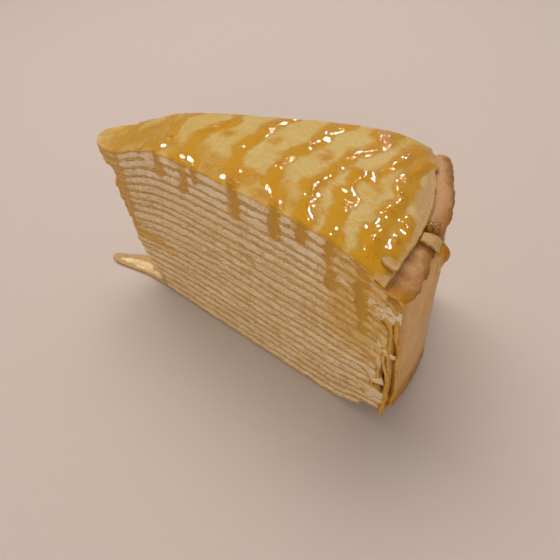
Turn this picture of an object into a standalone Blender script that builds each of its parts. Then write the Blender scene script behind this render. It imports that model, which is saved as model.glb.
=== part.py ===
"""A cut slice of crepe cake, built as its real layers.

Thin round crepes are stacked with cream spread between them, chilled and cut. Every crepe and
every cream layer is a solid of its own. The upper crepes are wider than the cake, so their rims
bend down and hang over the outer side, one outside the other.

Plan positions are worked out from the whole cake's centre: "forward" runs along the front cut
and "inward" runs away from it, across the slice. Every layer is one slab, a grid of columns
across the slice and rows from its nose to its rim, whose points are put in place by functions.
"""

import math

import bmesh
import bpy
from mathutils import Matrix, Vector

# The stack, in metres.
CREPE_COUNT = 21
CREPE_THICKNESS = 0.0011
LAYER_PITCH = 0.0037
CLEARANCE = 0.0003
CREAM_RECESS = 0.0003
STACK_HEIGHT = (CREPE_COUNT - 1) * LAYER_PITCH

# The two cuts. The front cut passes through the cake's centre, and the rear cut misses it.
REAR_CUT_ANGLE = math.radians(26)
REAR_CUT_OFFSET = 0.0136
MIDDLE_ANGLE = math.radians(16)

# The nose, where the cuts come together. It leans out over the layers near the plate.
NOSE_FORWARD = 0.001
NOSE_BULGE = 0.003
NOSE_REAR_SHIFT = 0.003
NOSE_RECESS_AT_PLATE = 0.013
NOSE_RECESS_HEIGHT = 0.025
NOSE_RECESS_POWER = 1.3
NOSE_LIP = 0.0045
NOSE_LIP_HEIGHT = 0.046
NOSE_LIP_RISE = 0.026
NOSE_UNEVENNESS = 0.0004
TONGUE_LENGTH = 0.019

# How the cake's surface rises and falls, as shares of the height: down at the nose, at the rim
# and slightly towards the rear, and up between the cuts.
TIP_DROOP = 0.15
TIP_REACH = 0.019
RIM_DROOP = 0.085
RIM_DROOP_POWER = 8
REAR_FALL = 0.02
DOME = 0.025
DOME_EDGE = 0.005
TOP_RIM_SAG = 0.0016
# The layers are not quite level either.
LEVEL_UNEVENNESS = 0.0003
WAVE_LENGTH = 0.107
# The lower crepes curl up off the plate at the front cut's outer corner.
CORNER_LIFT = 0.005
CURL_START = 0.096
CURL_LENGTH = 0.018
CURL_WIDTH = 0.020

# The rims. A crepe that hangs bends down at its rim; the others stop short of the next one.
SHOULDER_RADIUS = 0.098
TOP_RADIUS = 0.1125
OUTER_RADIUS = 0.1195
HANGING_STEP = 0.0014
RIM_BEND = 0.006
RIM_CLEARANCE = 0.003
REAR_TUCK = 0.002
FLARE = 0.0014
FOLD_DEPTH = 0.0008
FOLD_COUNT = 1.5
FOLD_START = -1.5
CORNER_SHARE = 0.18
# Crepe number: heights of its hem at the front cut, beside the corner there, and at the rear.
HEMS = {
    20: (0.054, 0.055, 0.060),
    19: (0.043, 0.046, 0.052),
    17: (0.030, 0.003, 0.003),
    14: (0.022, 0.002, 0.002),
    11: (0.014, 0.002, 0.002),
    8: (0.007, 0.002, 0.002),
    5: (0.003, 0.002, 0.002),
}

# Rows from nose to shoulder to rim, and columns from cut to cut.
ROWS = (0.0, 0.05, 0.11, 0.22, 0.42, 0.70, 1.0, 1.5, 2.0)
COLUMNS = (0.0, 0.18, 0.38, 0.62, 0.82, 1.0)
BEND_ROWS = 2
HANG_ROWS = 2
SHARP_EDGE = math.radians(40)

CREPE_COLOUR = (0.72, 0.50, 0.27, 1.0)
TOP_CREPE_COLOUR = (0.80, 0.58, 0.22, 1.0)
CREAM_COLOUR = (0.86, 0.78, 0.64, 1.0)


def clear_scene():
    for item in list(bpy.data.objects):
        bpy.data.objects.remove(item, do_unlink=True)


def make_material(name, colour, roughness):
    material = bpy.data.materials.new(name)
    material.use_nodes = True
    shader = material.node_tree.nodes["Principled BSDF"]
    shader.inputs["Base Color"].default_value = colour
    shader.inputs["Roughness"].default_value = roughness
    shader.inputs["Metallic"].default_value = 0.0
    material.diffuse_color = colour
    return material


def smooth_step(value):
    value = min(max(value, 0.0), 1.0)
    return value * value * (3.0 - 2.0 * value)


def on_circle(radius, angle):
    return Vector((radius * math.cos(angle), radius * math.sin(angle)))


def rear_angle(radius):
    """The angle from the front cut at which a circle round the cake's centre meets the rear cut."""
    nearest = REAR_CUT_OFFSET * math.cos(REAR_CUT_ANGLE)
    return REAR_CUT_ANGLE + math.asin(nearest / radius)


def rear_cut(forward):
    """The rear cut's point at this distance along the front cut."""
    return Vector((forward, REAR_CUT_OFFSET + forward * math.tan(REAR_CUT_ANGLE)))


def tucked(radius, across):
    """Every rim draws in a little towards the rear cut."""
    return radius - REAR_TUCK * smooth_step(2.0 * across - 1.0)


def in_plan(across, along, nose, radius):
    """A point of a layer in plan. Along is 0 at its nose, 1 at the shoulder and 2 at its rim."""
    if along > 1.0:
        out = SHOULDER_RADIUS + (tucked(radius, across) - SHOULDER_RADIUS) * (along - 1.0)
        return on_circle(out, across * rear_angle(out))
    straight_nose = Vector((nose, 0.0)).lerp(rear_cut(nose + NOSE_REAR_SHIFT), across)
    bulge = Vector((NOSE_BULGE * math.sin(math.pi * across), 0.0))
    shoulder = on_circle(SHOULDER_RADIUS, across * rear_angle(SHOULDER_RADIUS))
    return (straight_nose - bulge).lerp(shoulder, along)


def rise(place):
    """How high the cake stands at this place, as a share of its height at the front cut."""
    from_centre = place.length
    from_front = max(place.y, 0.0)
    from_rear = max((rear_cut(place.x).y - place.y) * math.cos(REAR_CUT_ANGLE), 0.0)
    tip = TIP_DROOP * math.exp(-((from_centre / TIP_REACH) ** 2))
    rim = RIM_DROOP * (from_centre / TOP_RADIUS) ** RIM_DROOP_POWER
    rear = REAR_FALL * from_front / max(from_front + from_rear, CLEARANCE)
    inside = (1.0 - math.exp(-from_front / DOME_EDGE)) * (1.0 - math.exp(-from_rear / DOME_EDGE))
    dome = DOME * inside * (1.0 - from_centre / (2.0 * TOP_RADIUS))
    return 1.0 - tip - rim - rear + dome


def corner_lift(place, height):
    outward = smooth_step((place.x - CURL_START) / CURL_LENGTH)
    near_front = 1.0 - smooth_step(place.y / CURL_WIDTH)
    return CORNER_LIFT * outward * near_front * (1.0 - height / STACK_HEIGHT) ** 2


def level_base(level):
    """The height of a crepe's underside where the cake is level."""
    height = (level - 1) * LAYER_PITCH
    inside = math.sin(math.pi * height / STACK_HEIGHT)
    return height + LEVEL_UNEVENNESS * inside * math.sin(2 * level)


def level_height(level, place):
    """The height of a crepe's underside at this place."""
    height = level_base(level)
    inside = math.sin(math.pi * height / STACK_HEIGHT)
    wave = LEVEL_UNEVENNESS * inside * math.sin(math.tau * place.x / WAVE_LENGTH + level)
    sag = 0.0
    if level == CREPE_COUNT:
        outward = (place.length - SHOULDER_RADIUS) / (TOP_RADIUS - SHOULDER_RADIUS)
        sag = TOP_RIM_SAG * smooth_step(outward)
    return height * rise(place) + wave + corner_lift(place, height) - sag


def nose_of(level):
    """How far along the front cut a crepe's nose starts, from the cake's centre."""
    if level == 1:
        return -TONGUE_LENGTH
    height = level_base(level)
    lean = max(1.0 - height / NOSE_RECESS_HEIGHT, 0.0)
    lip = smooth_step((height - NOSE_LIP_HEIGHT) / NOSE_LIP_RISE)
    recess = NOSE_FORWARD + NOSE_RECESS_AT_PLATE * lean**NOSE_RECESS_POWER
    return recess - NOSE_LIP * lip + NOSE_UNEVENNESS * math.sin(3 * level)


def hangs(level):
    return level in HEMS


def hanging_radius(level):
    place = sorted(HEMS, reverse=True).index(level)
    return OUTER_RADIUS - place * HANGING_STEP


def flat_radius(level):
    """Where a crepe's flat part ends: at its bend, or at its rim."""
    if level == CREPE_COUNT:
        return TOP_RADIUS
    if hangs(level):
        return hanging_radius(level) - RIM_BEND
    next_hanging = min(other for other in HEMS if other > level)
    return hanging_radius(next_hanging) - RIM_CLEARANCE


def hem_height(level, across):
    front, beside, rear = HEMS[level]
    first = front + (beside - front) * smooth_step(across / CORNER_SHARE)
    return first + (rear - beside) * smooth_step((across - CORNER_SHARE) / (1.0 - CORNER_SHARE))


def fold(across, height):
    """The hanging rims share gentle upright folds and a flare, both growing towards the plate."""
    low = 1.0 - height / STACK_HEIGHT
    return low * (FLARE + FOLD_DEPTH * math.sin(math.tau * FOLD_COUNT * across + FOLD_START))


def to_object(place, height):
    """From the cake's centre to the object's own axes, whose +X is the slice's middle line."""
    turned = Matrix.Rotation(-MIDDLE_ANGLE, 2) @ place
    return Vector((turned.x, turned.y, height))


def flat_point(level, across, along, upper):
    place = in_plan(across, along, nose_of(level), flat_radius(level))
    return to_object(place, level_height(level, place) + upper * CREPE_THICKNESS)


def hanging_point(level, across, step, upper):
    """A point of a hanging rim. The upper side of the crepe is its outer side here."""
    radius = tucked(hanging_radius(level), across)
    start = in_plan(across, 2.0, 0.0, flat_radius(level))
    top = level_height(level, start) + CREPE_THICKNESS
    inset = 0.0 if upper else CREPE_THICKNESS
    if step <= BEND_ROWS:
        turn = 0.5 * math.pi * step / BEND_ROWS
        out = radius - RIM_BEND + (RIM_BEND - inset) * math.sin(turn)
        height = top - RIM_BEND + (RIM_BEND - inset) * math.cos(turn)
    else:
        down = (step - BEND_ROWS) / HANG_ROWS
        out = radius - inset
        height = top - RIM_BEND + down * (hem_height(level, across) - top + RIM_BEND)
    out += fold(across, height)
    return to_object(on_circle(out, across * rear_angle(radius)), height)


def slab(rows):
    """A closed slab of whole-number points: its row along X, its column along Y, its side up Z."""
    columns = len(COLUMNS) - 1
    mesh = bmesh.new()
    place = Matrix.Translation((rows / 2, columns / 2, 0)) @ Matrix.Diagonal((rows, columns, 1, 1))
    bmesh.ops.create_grid(mesh, x_segments=rows, y_segments=columns, size=0.5, matrix=place)
    bmesh.ops.triangulate(mesh, faces=mesh.faces[:], quad_method="FIXED")
    raised = bmesh.ops.extrude_face_region(mesh, geom=mesh.faces[:])["geom"]
    points = [item for item in raised if isinstance(item, bmesh.types.BMVert)]
    bmesh.ops.translate(mesh, verts=points, vec=(0, 0, 1))
    bmesh.ops.recalc_face_normals(mesh, faces=mesh.faces)
    return mesh


def add_layer(name, mesh, material):
    data = bpy.data.meshes.new(name)
    mesh.to_mesh(data)
    mesh.free()
    data.shade_smooth()
    data.set_sharp_from_angle(angle=SHARP_EDGE)
    data.materials.append(material)
    layer = bpy.data.objects.new(name, data)
    bpy.context.scene.collection.objects.link(layer)
    return layer


def add_crepe(level, material):
    flat_rows = len(ROWS) - 1
    rows = flat_rows + (BEND_ROWS + HANG_ROWS if hangs(level) else 0)
    mesh = slab(rows)
    for vertex in mesh.verts:
        row, column, upper = (round(value) for value in vertex.co)
        across = COLUMNS[column]
        if row <= flat_rows:
            vertex.co = flat_point(level, across, ROWS[row], upper)
        else:
            vertex.co = hanging_point(level, across, row - flat_rows, upper)
    return add_layer(f"crepe_{level:02d}", mesh, material)


def add_cream(level, material):
    """The cream on one crepe, up to the next. It stops a little short of their edges."""
    nose = max(nose_of(level), nose_of(level + 1)) + CREAM_RECESS
    radius = min(flat_radius(level), flat_radius(level + 1)) - RIM_CLEARANCE
    mesh = slab(len(ROWS) - 1)
    for vertex in mesh.verts:
        row, column, upper = (round(value) for value in vertex.co)
        place = in_plan(COLUMNS[column], ROWS[row], nose, radius)
        if column == 0:
            place.y += CREAM_RECESS
        if column == len(COLUMNS) - 1:
            place.y -= CREAM_RECESS
        if upper:
            height = level_height(level + 1, place) - CLEARANCE
        else:
            height = level_height(level, place) + CREPE_THICKNESS + CLEARANCE
        vertex.co = to_object(place, height)
    return add_layer(f"cream_{level:02d}", mesh, material)


def centre_on_footprint(layers):
    """The object's origin is on the plate, in the middle of the slice's length and width."""
    corners = [vertex.co for layer in layers for vertex in layer.data.vertices]
    middle = Vector((0.0, 0.0, 0.0))
    for axis in (0, 1):
        values = [corner[axis] for corner in corners]
        middle[axis] = (min(values) + max(values)) / 2
    for layer in layers:
        layer.data.transform(Matrix.Translation(-middle))


clear_scene()
crepe_material = make_material("crepe", CREPE_COLOUR, 0.6)
top_material = make_material("top_crepe", TOP_CREPE_COLOUR, 0.4)
cream_material = make_material("cream", CREAM_COLOUR, 0.5)
layers = []
for level in range(1, CREPE_COUNT):
    layers.append(add_crepe(level, crepe_material))
    layers.append(add_cream(level, cream_material))
layers.append(add_crepe(CREPE_COUNT, top_material))
centre_on_footprint(layers)
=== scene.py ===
"""A cut slice of crepe cake with caramel sauce, dressed in the order in which it is made.

Plan positions are worked out from the whole cake's centre: "forward" runs along the front cut
and "inward" runs away from it, across the slice. Lengths are in metres.
"""

import math

import bmesh
import bpy
import numpy as np
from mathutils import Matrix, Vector, noise


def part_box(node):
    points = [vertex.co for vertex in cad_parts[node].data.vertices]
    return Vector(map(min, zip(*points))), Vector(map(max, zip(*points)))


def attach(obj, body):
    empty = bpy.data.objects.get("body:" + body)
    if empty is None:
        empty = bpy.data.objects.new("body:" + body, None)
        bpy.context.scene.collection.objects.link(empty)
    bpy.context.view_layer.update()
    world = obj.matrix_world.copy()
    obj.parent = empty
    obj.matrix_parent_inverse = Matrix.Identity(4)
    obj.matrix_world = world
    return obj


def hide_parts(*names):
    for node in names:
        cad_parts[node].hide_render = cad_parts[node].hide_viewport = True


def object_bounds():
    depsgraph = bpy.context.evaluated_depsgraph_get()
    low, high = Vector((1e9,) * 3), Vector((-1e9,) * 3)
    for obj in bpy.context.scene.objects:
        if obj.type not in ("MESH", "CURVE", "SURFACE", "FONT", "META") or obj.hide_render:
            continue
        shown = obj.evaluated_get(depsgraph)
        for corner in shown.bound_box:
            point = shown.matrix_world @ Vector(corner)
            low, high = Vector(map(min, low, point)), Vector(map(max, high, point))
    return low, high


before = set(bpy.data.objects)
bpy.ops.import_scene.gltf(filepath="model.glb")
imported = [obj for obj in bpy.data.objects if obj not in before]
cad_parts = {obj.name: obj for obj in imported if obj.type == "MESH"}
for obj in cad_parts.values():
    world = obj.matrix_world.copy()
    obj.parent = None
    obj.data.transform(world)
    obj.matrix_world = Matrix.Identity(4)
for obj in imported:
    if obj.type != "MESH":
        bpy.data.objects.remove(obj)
solid_box = [list(corner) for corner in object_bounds()]


# --- The plain crepes -------------------------------------------------------------------------
# Thin egg batter is fried on one side in a flat pan and the crepes are stacked with cream between
# them. The knife leaves their edges a little ragged on both cuts and round the nose, and most
# crepes end inside the wider ones that hang over the outer side.

CREPES = 21
CREPE_THICKNESS = 0.0011
LAYER_PITCH = 0.0037
STACK_HEIGHT = (CREPES - 1) * LAYER_PITCH
LEVEL_UNEVENNESS = 0.0003
LAYER_WANDER = 0.0005
WAVE_LENGTH = 0.107
REAR_CUT_ANGLE = math.radians(26)
REAR_CUT_OFFSET = 0.0136
MIDDLE_ANGLE = math.radians(16)
NOSE_FORWARD = 0.001
NOSE_BULGE = 0.003
NOSE_REAR_SHIFT = 0.003
NOSE_ROUNDING = 0.0018
NOSE_RECESS_AT_PLATE = 0.013
NOSE_RECESS_HEIGHT = 0.025
NOSE_RECESS_POWER = 1.3
NOSE_LIP = 0.0045
NOSE_LIP_HEIGHT = 0.046
NOSE_LIP_RISE = 0.026
NOSE_UNEVENNESS = 0.0004
NOSE_STEPS = {21: -0.0016, 20: -0.0018, 19: -0.0010, 18: 0.0020, 17: 0.0014, 16: -0.0016, 15: -0.0024,
              14: -0.0026, 13: -0.0020, 12: -0.0006}
TONGUE_LENGTH = 0.019
TONGUE_TURN = 0.0036
TIP_DROOP = 0.15
TIP_REACH = 0.019
RIM_DROOP = 0.085
RIM_DROOP_POWER = 8
REAR_FALL = 0.02
DOME = 0.025
DOME_EDGE = 0.005
TOP_RIM_SAG = 0.0016
CORNER_LIFT = 0.005
CURL_START = 0.096
CURL_LENGTH = 0.018
CURL_WIDTH = 0.020
SHOULDER_RADIUS = 0.098
TOP_RADIUS = 0.1125
OUTER_RADIUS = 0.1195
REAR_TUCK = 0.002
HANGING_STEP = 0.0014
RIM_BEND = 0.006
RIM_CLEARANCE = 0.003
FILL_GAP = 0.0001
FLARE = 0.0014
FOLD_DEPTH = 0.0008
FOLD_COUNT = 1.5
FOLD_START = -1.5
# How long the outer side is from the front cut to the rear cut.
RIM_ARC = 0.066
WRINKLE = 0.00035
FOOT_TUCK = 0.0022
FOOT_HEIGHT = 0.022
HANGING = (20, 19, 17, 14, 11, 8, 5)
# The mesh of a layer: rows along each cut, points round the nose, and lines in from the cut edge,
# as shares of the way to the slice's middle.
CUT_ROWS = 240
NOSE_POINTS = 40
LINES_IN = np.array((0.0, 0.03, 0.12, 1.0))
SPINE_START = 0.06


def smooth(value):
    value = np.clip(value, 0.0, 1.0)
    return value * value * (3.0 - 2.0 * value)


def wander(x, y, size, seed):
    """Smooth random values from -1 to 1 that change over this size."""
    values = np.random.default_rng(seed).uniform(-1.0, 1.0, (97, 97))
    x, y = np.asarray(x) / size, np.asarray(y) / size
    column, row = np.floor(x).astype(int), np.floor(y).astype(int)
    share_x, share_y = smooth(x - column), smooth(y - row)
    low = values[column % 97, row % 97] * (1 - share_x) + values[(column + 1) % 97, row % 97] * share_x
    high_left = values[column % 97, (row + 1) % 97]
    high_right = values[(column + 1) % 97, (row + 1) % 97]
    high = high_left * (1 - share_x) + high_right * share_x
    return low * (1 - share_y) + high * share_y


def rear_angle(radius):
    """The angle from the front cut at which a circle round the cake's centre meets the rear cut."""
    nearest = REAR_CUT_OFFSET * math.cos(REAR_CUT_ANGLE)
    return REAR_CUT_ANGLE + np.arcsin(nearest / np.maximum(radius, nearest))


def rear_cut(forward):
    return REAR_CUT_OFFSET + forward * math.tan(REAR_CUT_ANGLE)


def tucked(radius, across):
    return radius - REAR_TUCK * smooth(2.0 * across - 1.0)


def in_plan(across, along, nose, radius, rounding=NOSE_ROUNDING):
    """Forward and inward places. Across runs from cut to cut, and along is 0 at a layer's nose,
    1 at the shoulder and 2 at its rim."""
    turn = across * rear_angle(SHOULDER_RADIUS)
    nose_forward = nose + NOSE_REAR_SHIFT * across - NOSE_BULGE * np.sin(math.pi * across)
    nose_forward = nose_forward + rounding * np.abs(2.0 * across - 1.0) ** 5
    nose_inward = across * rear_cut(nose + NOSE_REAR_SHIFT)
    body = np.minimum(along, 1.0)
    forward = nose_forward + (SHOULDER_RADIUS * np.cos(turn) - nose_forward) * body
    inward = nose_inward + (SHOULDER_RADIUS * np.sin(turn) - nose_inward) * body
    out = SHOULDER_RADIUS + (tucked(radius, across) - SHOULDER_RADIUS) * (along - 1.0)
    turn = across * rear_angle(out)
    beyond = along > 1.0
    forward = np.where(beyond, out * np.cos(turn), forward)
    inward = np.where(beyond, out * np.sin(turn), inward)
    return forward, inward


def rise(forward, inward):
    """How high the cake stands here, as a share of its height at the front cut."""
    from_centre = np.hypot(forward, inward)
    from_front = np.maximum(inward, 0.0)
    from_rear = np.maximum((rear_cut(forward) - inward) * math.cos(REAR_CUT_ANGLE), 0.0)
    tip = TIP_DROOP * np.exp(-((from_centre / TIP_REACH) ** 2))
    rim = RIM_DROOP * (from_centre / TOP_RADIUS) ** RIM_DROOP_POWER
    rear = REAR_FALL * from_front / np.maximum(from_front + from_rear, 0.0003)
    inside = (1.0 - np.exp(-from_front / DOME_EDGE)) * (1.0 - np.exp(-from_rear / DOME_EDGE))
    dome = DOME * inside * (1.0 - from_centre / (2.0 * TOP_RADIUS))
    return 1.0 - tip - rim - rear + dome


def level_base(level):
    height = (level - 1) * LAYER_PITCH
    inside = math.sin(math.pi * height / STACK_HEIGHT)
    return height + LEVEL_UNEVENNESS * inside * math.sin(2 * level)


def level_height(level, forward, inward):
    """The height of a crepe's underside."""
    height = level_base(level)
    inside = math.sin(math.pi * height / STACK_HEIGHT)
    wave = LEVEL_UNEVENNESS * inside * np.sin(math.tau * forward / WAVE_LENGTH + level)
    wave = wave + LAYER_WANDER * inside * wander(forward, inward + 0.0052 * level, 0.015, 11)
    wave = wave + 0.3 * LAYER_WANDER * inside * wander(forward, inward + 0.0052 * level, 0.005, 12)
    outward = smooth((forward - CURL_START) / CURL_LENGTH)
    curl = outward * (1.0 - smooth(inward / CURL_WIDTH)) * (1.0 - height / STACK_HEIGHT) ** 2
    sag = 0.0
    if level == CREPES:
        radius = np.hypot(forward, inward)
        sag = TOP_RIM_SAG * smooth((radius - SHOULDER_RADIUS) / (TOP_RADIUS - SHOULDER_RADIUS))
    return height * rise(forward, inward) + wave + CORNER_LIFT * curl - sag


def nose_of(level):
    if level == 1:
        return -TONGUE_LENGTH
    height = level_base(level)
    lean = max(1.0 - height / NOSE_RECESS_HEIGHT, 0.0)
    lip = float(smooth((height - NOSE_LIP_HEIGHT) / NOSE_LIP_RISE))
    recess = NOSE_FORWARD + NOSE_RECESS_AT_PLATE * lean**NOSE_RECESS_POWER
    return recess - NOSE_LIP * lip + NOSE_UNEVENNESS * math.sin(3 * level) + NOSE_STEPS.get(level, 0.0)


def hanging_radius(level):
    return OUTER_RADIUS - HANGING.index(level) * HANGING_STEP


def flat_radius(level):
    if level == CREPES:
        return TOP_RADIUS
    if level in HANGING:
        return hanging_radius(level) - RIM_BEND
    return hanging_radius(min(other for other in HANGING if other > level)) - RIM_CLEARANCE


def fold(across, height):
    """How far the hanging crepes stand out here: they flare towards the plate in soft folds."""
    hang = 1.0 - height / STACK_HEIGHT
    wave = FLARE + FOLD_DEPTH * np.sin(math.tau * FOLD_COUNT * across + FOLD_START)
    foot = FOOT_TUCK * smooth(1.0 - height / FOOT_HEIGHT) * smooth(1.4 - 2.0 * across)
    wrinkle = WRINKLE * (wander(across * RIM_ARC, height, 0.011, 41) - 0.6)
    return hang * wave - foot + wrinkle * smooth(8.0 * hang)


# The height of each hanging crepe's hem at the front cut, beside it and at the rear cut, and over
# what share of the outer side it changes from the first to the second.
HEM_UNEVENNESS = 0.0010
HEMS = {
    20: (0.0630, 0.0634, 0.0622, 0.30),
    19: (0.0470, 0.0030, 0.0030, 0.10),
    17: (0.0340, 0.0025, 0.0025, 0.07),
    14: (0.0055, 0.0020, 0.0020, 0.07),
    11: (0.0270, 0.0250, 0.0020, 0.30),
    8: (0.0185, 0.0170, 0.0020, 0.30),
    5: (0.0110, 0.0100, 0.0020, 0.30),
}


def hem_height(level, across):
    front, beside, rear, corner = HEMS[level]
    height = front + (beside - front) * smooth(across / corner)
    height = height + (rear - beside) * smooth((across - corner) / (1.0 - corner))
    around = across * RIM_ARC
    ragged = wander(around, level * 0.01, 0.004, 31) + 0.6 * wander(around, level * 0.01, 0.0015, 32)
    return np.maximum(height + HEM_UNEVENNESS * ragged * (0.35 if level == 20 else 1.0), 0.0008)


CORNER_STAND = {14: 0.0026}


def stand(level, across, height):
    """How much further out a crepe hangs at the front corner, where no other hangs over it."""
    return CORNER_STAND.get(level, 0.0) * (1.0 - smooth(across / 0.07)) * smooth((0.036 - height) / 0.010)


def filled_radius(level, height, across):
    """How far out a layer reaches at this height before it meets a crepe that hangs over it here."""
    reached = 0.0
    for cover in [other for other in HANGING if other > level]:
        radius = hanging_radius(cover)
        place_on_rim = in_plan(across, 2.0, 0.0, radius - RIM_BEND)
        below = level_height(cover, *place_on_rim) + CREPE_THICKNESS - height
        bend = np.maximum((RIM_BEND - CREPE_THICKNESS) ** 2 - np.maximum(RIM_BEND - below, 0.0) ** 2, 0.0)
        out = radius - RIM_BEND + np.sqrt(bend) - FILL_GAP
        out = out + fold(across, height) + stand(cover, across, height)
        reached = np.where(hem_height(cover, across) < height, out, reached)
    return np.where(reached > 0.0, reached, out)


def turned(forward, inward, height):
    """To the object's axes, whose +X is the slice's middle line, still from the cake's centre."""
    sine, cosine = math.sin(MIDDLE_ANGLE), math.cos(MIDDLE_ANGLE)
    x = forward * cosine + inward * sine
    y = inward * cosine - forward * sine
    return np.stack(np.broadcast_arrays(x, y, height), axis=-1)


# The lowest crepe's solid gives the cake's centre: its nose has the lowest X of its outline.
solid_columns = np.array((0.0, 0.18, 0.38, 0.62, 0.82, 1.0))
outline = turned(*in_plan(solid_columns, 0.0, -TONGUE_LENGTH, 0.1, rounding=0.0), 0.0)
tongue_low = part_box("crepe_01")[0]
cake_centre = np.array((tongue_low.x - outline[:, 0].min(), 0.0, 0.0))
front_rim = turned(*in_plan(0.0, 2.0, -TONGUE_LENGTH, flat_radius(1)), 0.0)
cake_centre[1] = tongue_low.y - front_rim[1]


def cut_edge(nose, radius, reach):
    """Across and along of a layer's cut edge, from the rear rim round the nose to the front rim."""
    body = SHOULDER_RADIUS - nose
    length = body + (radius - SHOULDER_RADIUS) * (reach - 1.0)
    steps = np.linspace(0.0, length, CUT_ROWS)
    past_shoulder = 1.0 + (steps - body) / max(length - body, 1e-6) * (reach - 1.0)
    along = np.where(steps < body, steps / body, past_shoulder)
    around = np.linspace(1.0, 0.0, NOSE_POINTS + 2)[1:-1]
    across = np.concatenate((np.ones(CUT_ROWS), around, np.zeros(CUT_ROWS)))
    along = np.concatenate((along[::-1], np.zeros(NOSE_POINTS), along))
    return across, along


def ring_places(nose, radius, reach=2.0, recess=0.0, filled=None):
    """Plan places of a layer whose lines run in from its cut edge and meet along its middle.
    Filled gives a reach of its own to each place round the rim."""
    across, along = cut_edge(nose, radius, reach)
    share = LINES_IN[None, :]
    inner_across = 0.5 + (across[:, None] - 0.5) * (1.0 - share)
    spine = SPINE_START + (reach - SPINE_START) * along[:, None] / reach
    inner_along = along[:, None] * (1.0 - share) + spine * share
    rim = radius if filled is None else filled(inner_across)
    forward, inward = in_plan(inner_across, inner_along, nose, rim)
    sideways = (1.0 - share) * recess * (1.0 - 2.0 * across[:, None])
    return forward, inward + sideways


def closed_mesh(name, under, over, wall_steps, bulge, spine):
    """A closed mesh between two grids of points, with a wall of several steps round its border.
    With a spine, the grid's far side is folded onto itself and gets no wall."""
    rows, lines = under.shape[:2]
    count = rows * lines
    grid = np.arange(count).reshape(rows, lines)
    quads = np.stack((grid[:-1, :-1], grid[1:, :-1], grid[1:, 1:], grid[:-1, 1:]), axis=-1).reshape(-1, 4)
    near = [(row, 0) for row in range(rows)]
    rim = [(rows - 1, line) for line in range(1, lines)]
    start = [(0, line) for line in range(lines - 1, 0, -1)]
    far = [] if spine else [(row, lines - 1) for row in range(rows - 2, 0, -1)]
    border = np.array(start + near + rim if spine else near + rim + far + start)
    low = under[border[:, 0], border[:, 1]]
    high = over[border[:, 0], border[:, 1]]
    if spine:
        tangent = np.gradient(low, axis=0)
    else:
        tangent = np.roll(low, -1, axis=0) - np.roll(low, 1, axis=0)
    outward = np.cross(tangent, high - low)
    outward /= np.maximum(np.linalg.norm(outward, axis=1, keepdims=True), 1e-12)
    points = [over.reshape(-1, 3), under.reshape(-1, 3)]
    rings = [border[:, 0] * lines + border[:, 1] + count]
    for step in range(1, wall_steps):
        share = step / wall_steps
        points.append(low + (high - low) * share + outward * bulge * math.sin(math.pi * share))
        rings.append(2 * count + (step - 1) * len(border) + np.arange(len(border)))
    rings.append(border[:, 0] * lines + border[:, 1])
    rings = np.array(rings)
    after = rings[:, 1:] if spine else np.roll(rings, -1, axis=1)
    before = rings[:, :-1] if spine else rings
    walls = np.stack((before[:-1], after[:-1], after[1:], before[1:]), axis=-1).reshape(-1, 4)
    points = np.concatenate(points)
    faces = np.concatenate((quads, quads[:, ::-1] + count, walls))
    data = bpy.data.meshes.new(name)
    data.from_pydata(points.tolist(), [], faces.tolist())
    relief = np.zeros(len(points))
    relief[rings.ravel()] = 1.0
    share = np.zeros(len(points))
    share[:count] = 1.0
    share[rings.ravel()] = np.repeat(np.linspace(0.0, 1.0, wall_steps + 1), len(border))
    cut = np.zeros(len(faces))
    cut[2 * len(quads):] = 1.0
    data.attributes.new("relief", "FLOAT", "POINT").data.foreach_set("value", relief)
    data.attributes.new("share", "FLOAT", "POINT").data.foreach_set("value", share)
    data.attributes.new("cut", "FLOAT", "FACE").data.foreach_set("value", cut)
    return data


def place(tree, kind, inputs=None, **settings):
    """Adds a node, with its settings and with its inputs set or linked."""
    node = tree.nodes.new(kind)
    for key, value in settings.items():
        setattr(node, key, value)
    for key, value in (inputs or {}).items():
        if isinstance(value, bpy.types.NodeSocket):
            tree.links.new(value, node.inputs[key])
        else:
            node.inputs[key].default_value = value
    return node


def maths(tree, operation, first, second=0.0, third=0.0):
    return place(tree, "ShaderNodeMath", {0: first, 1: second, 2: third}, operation=operation).outputs[0]


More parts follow.
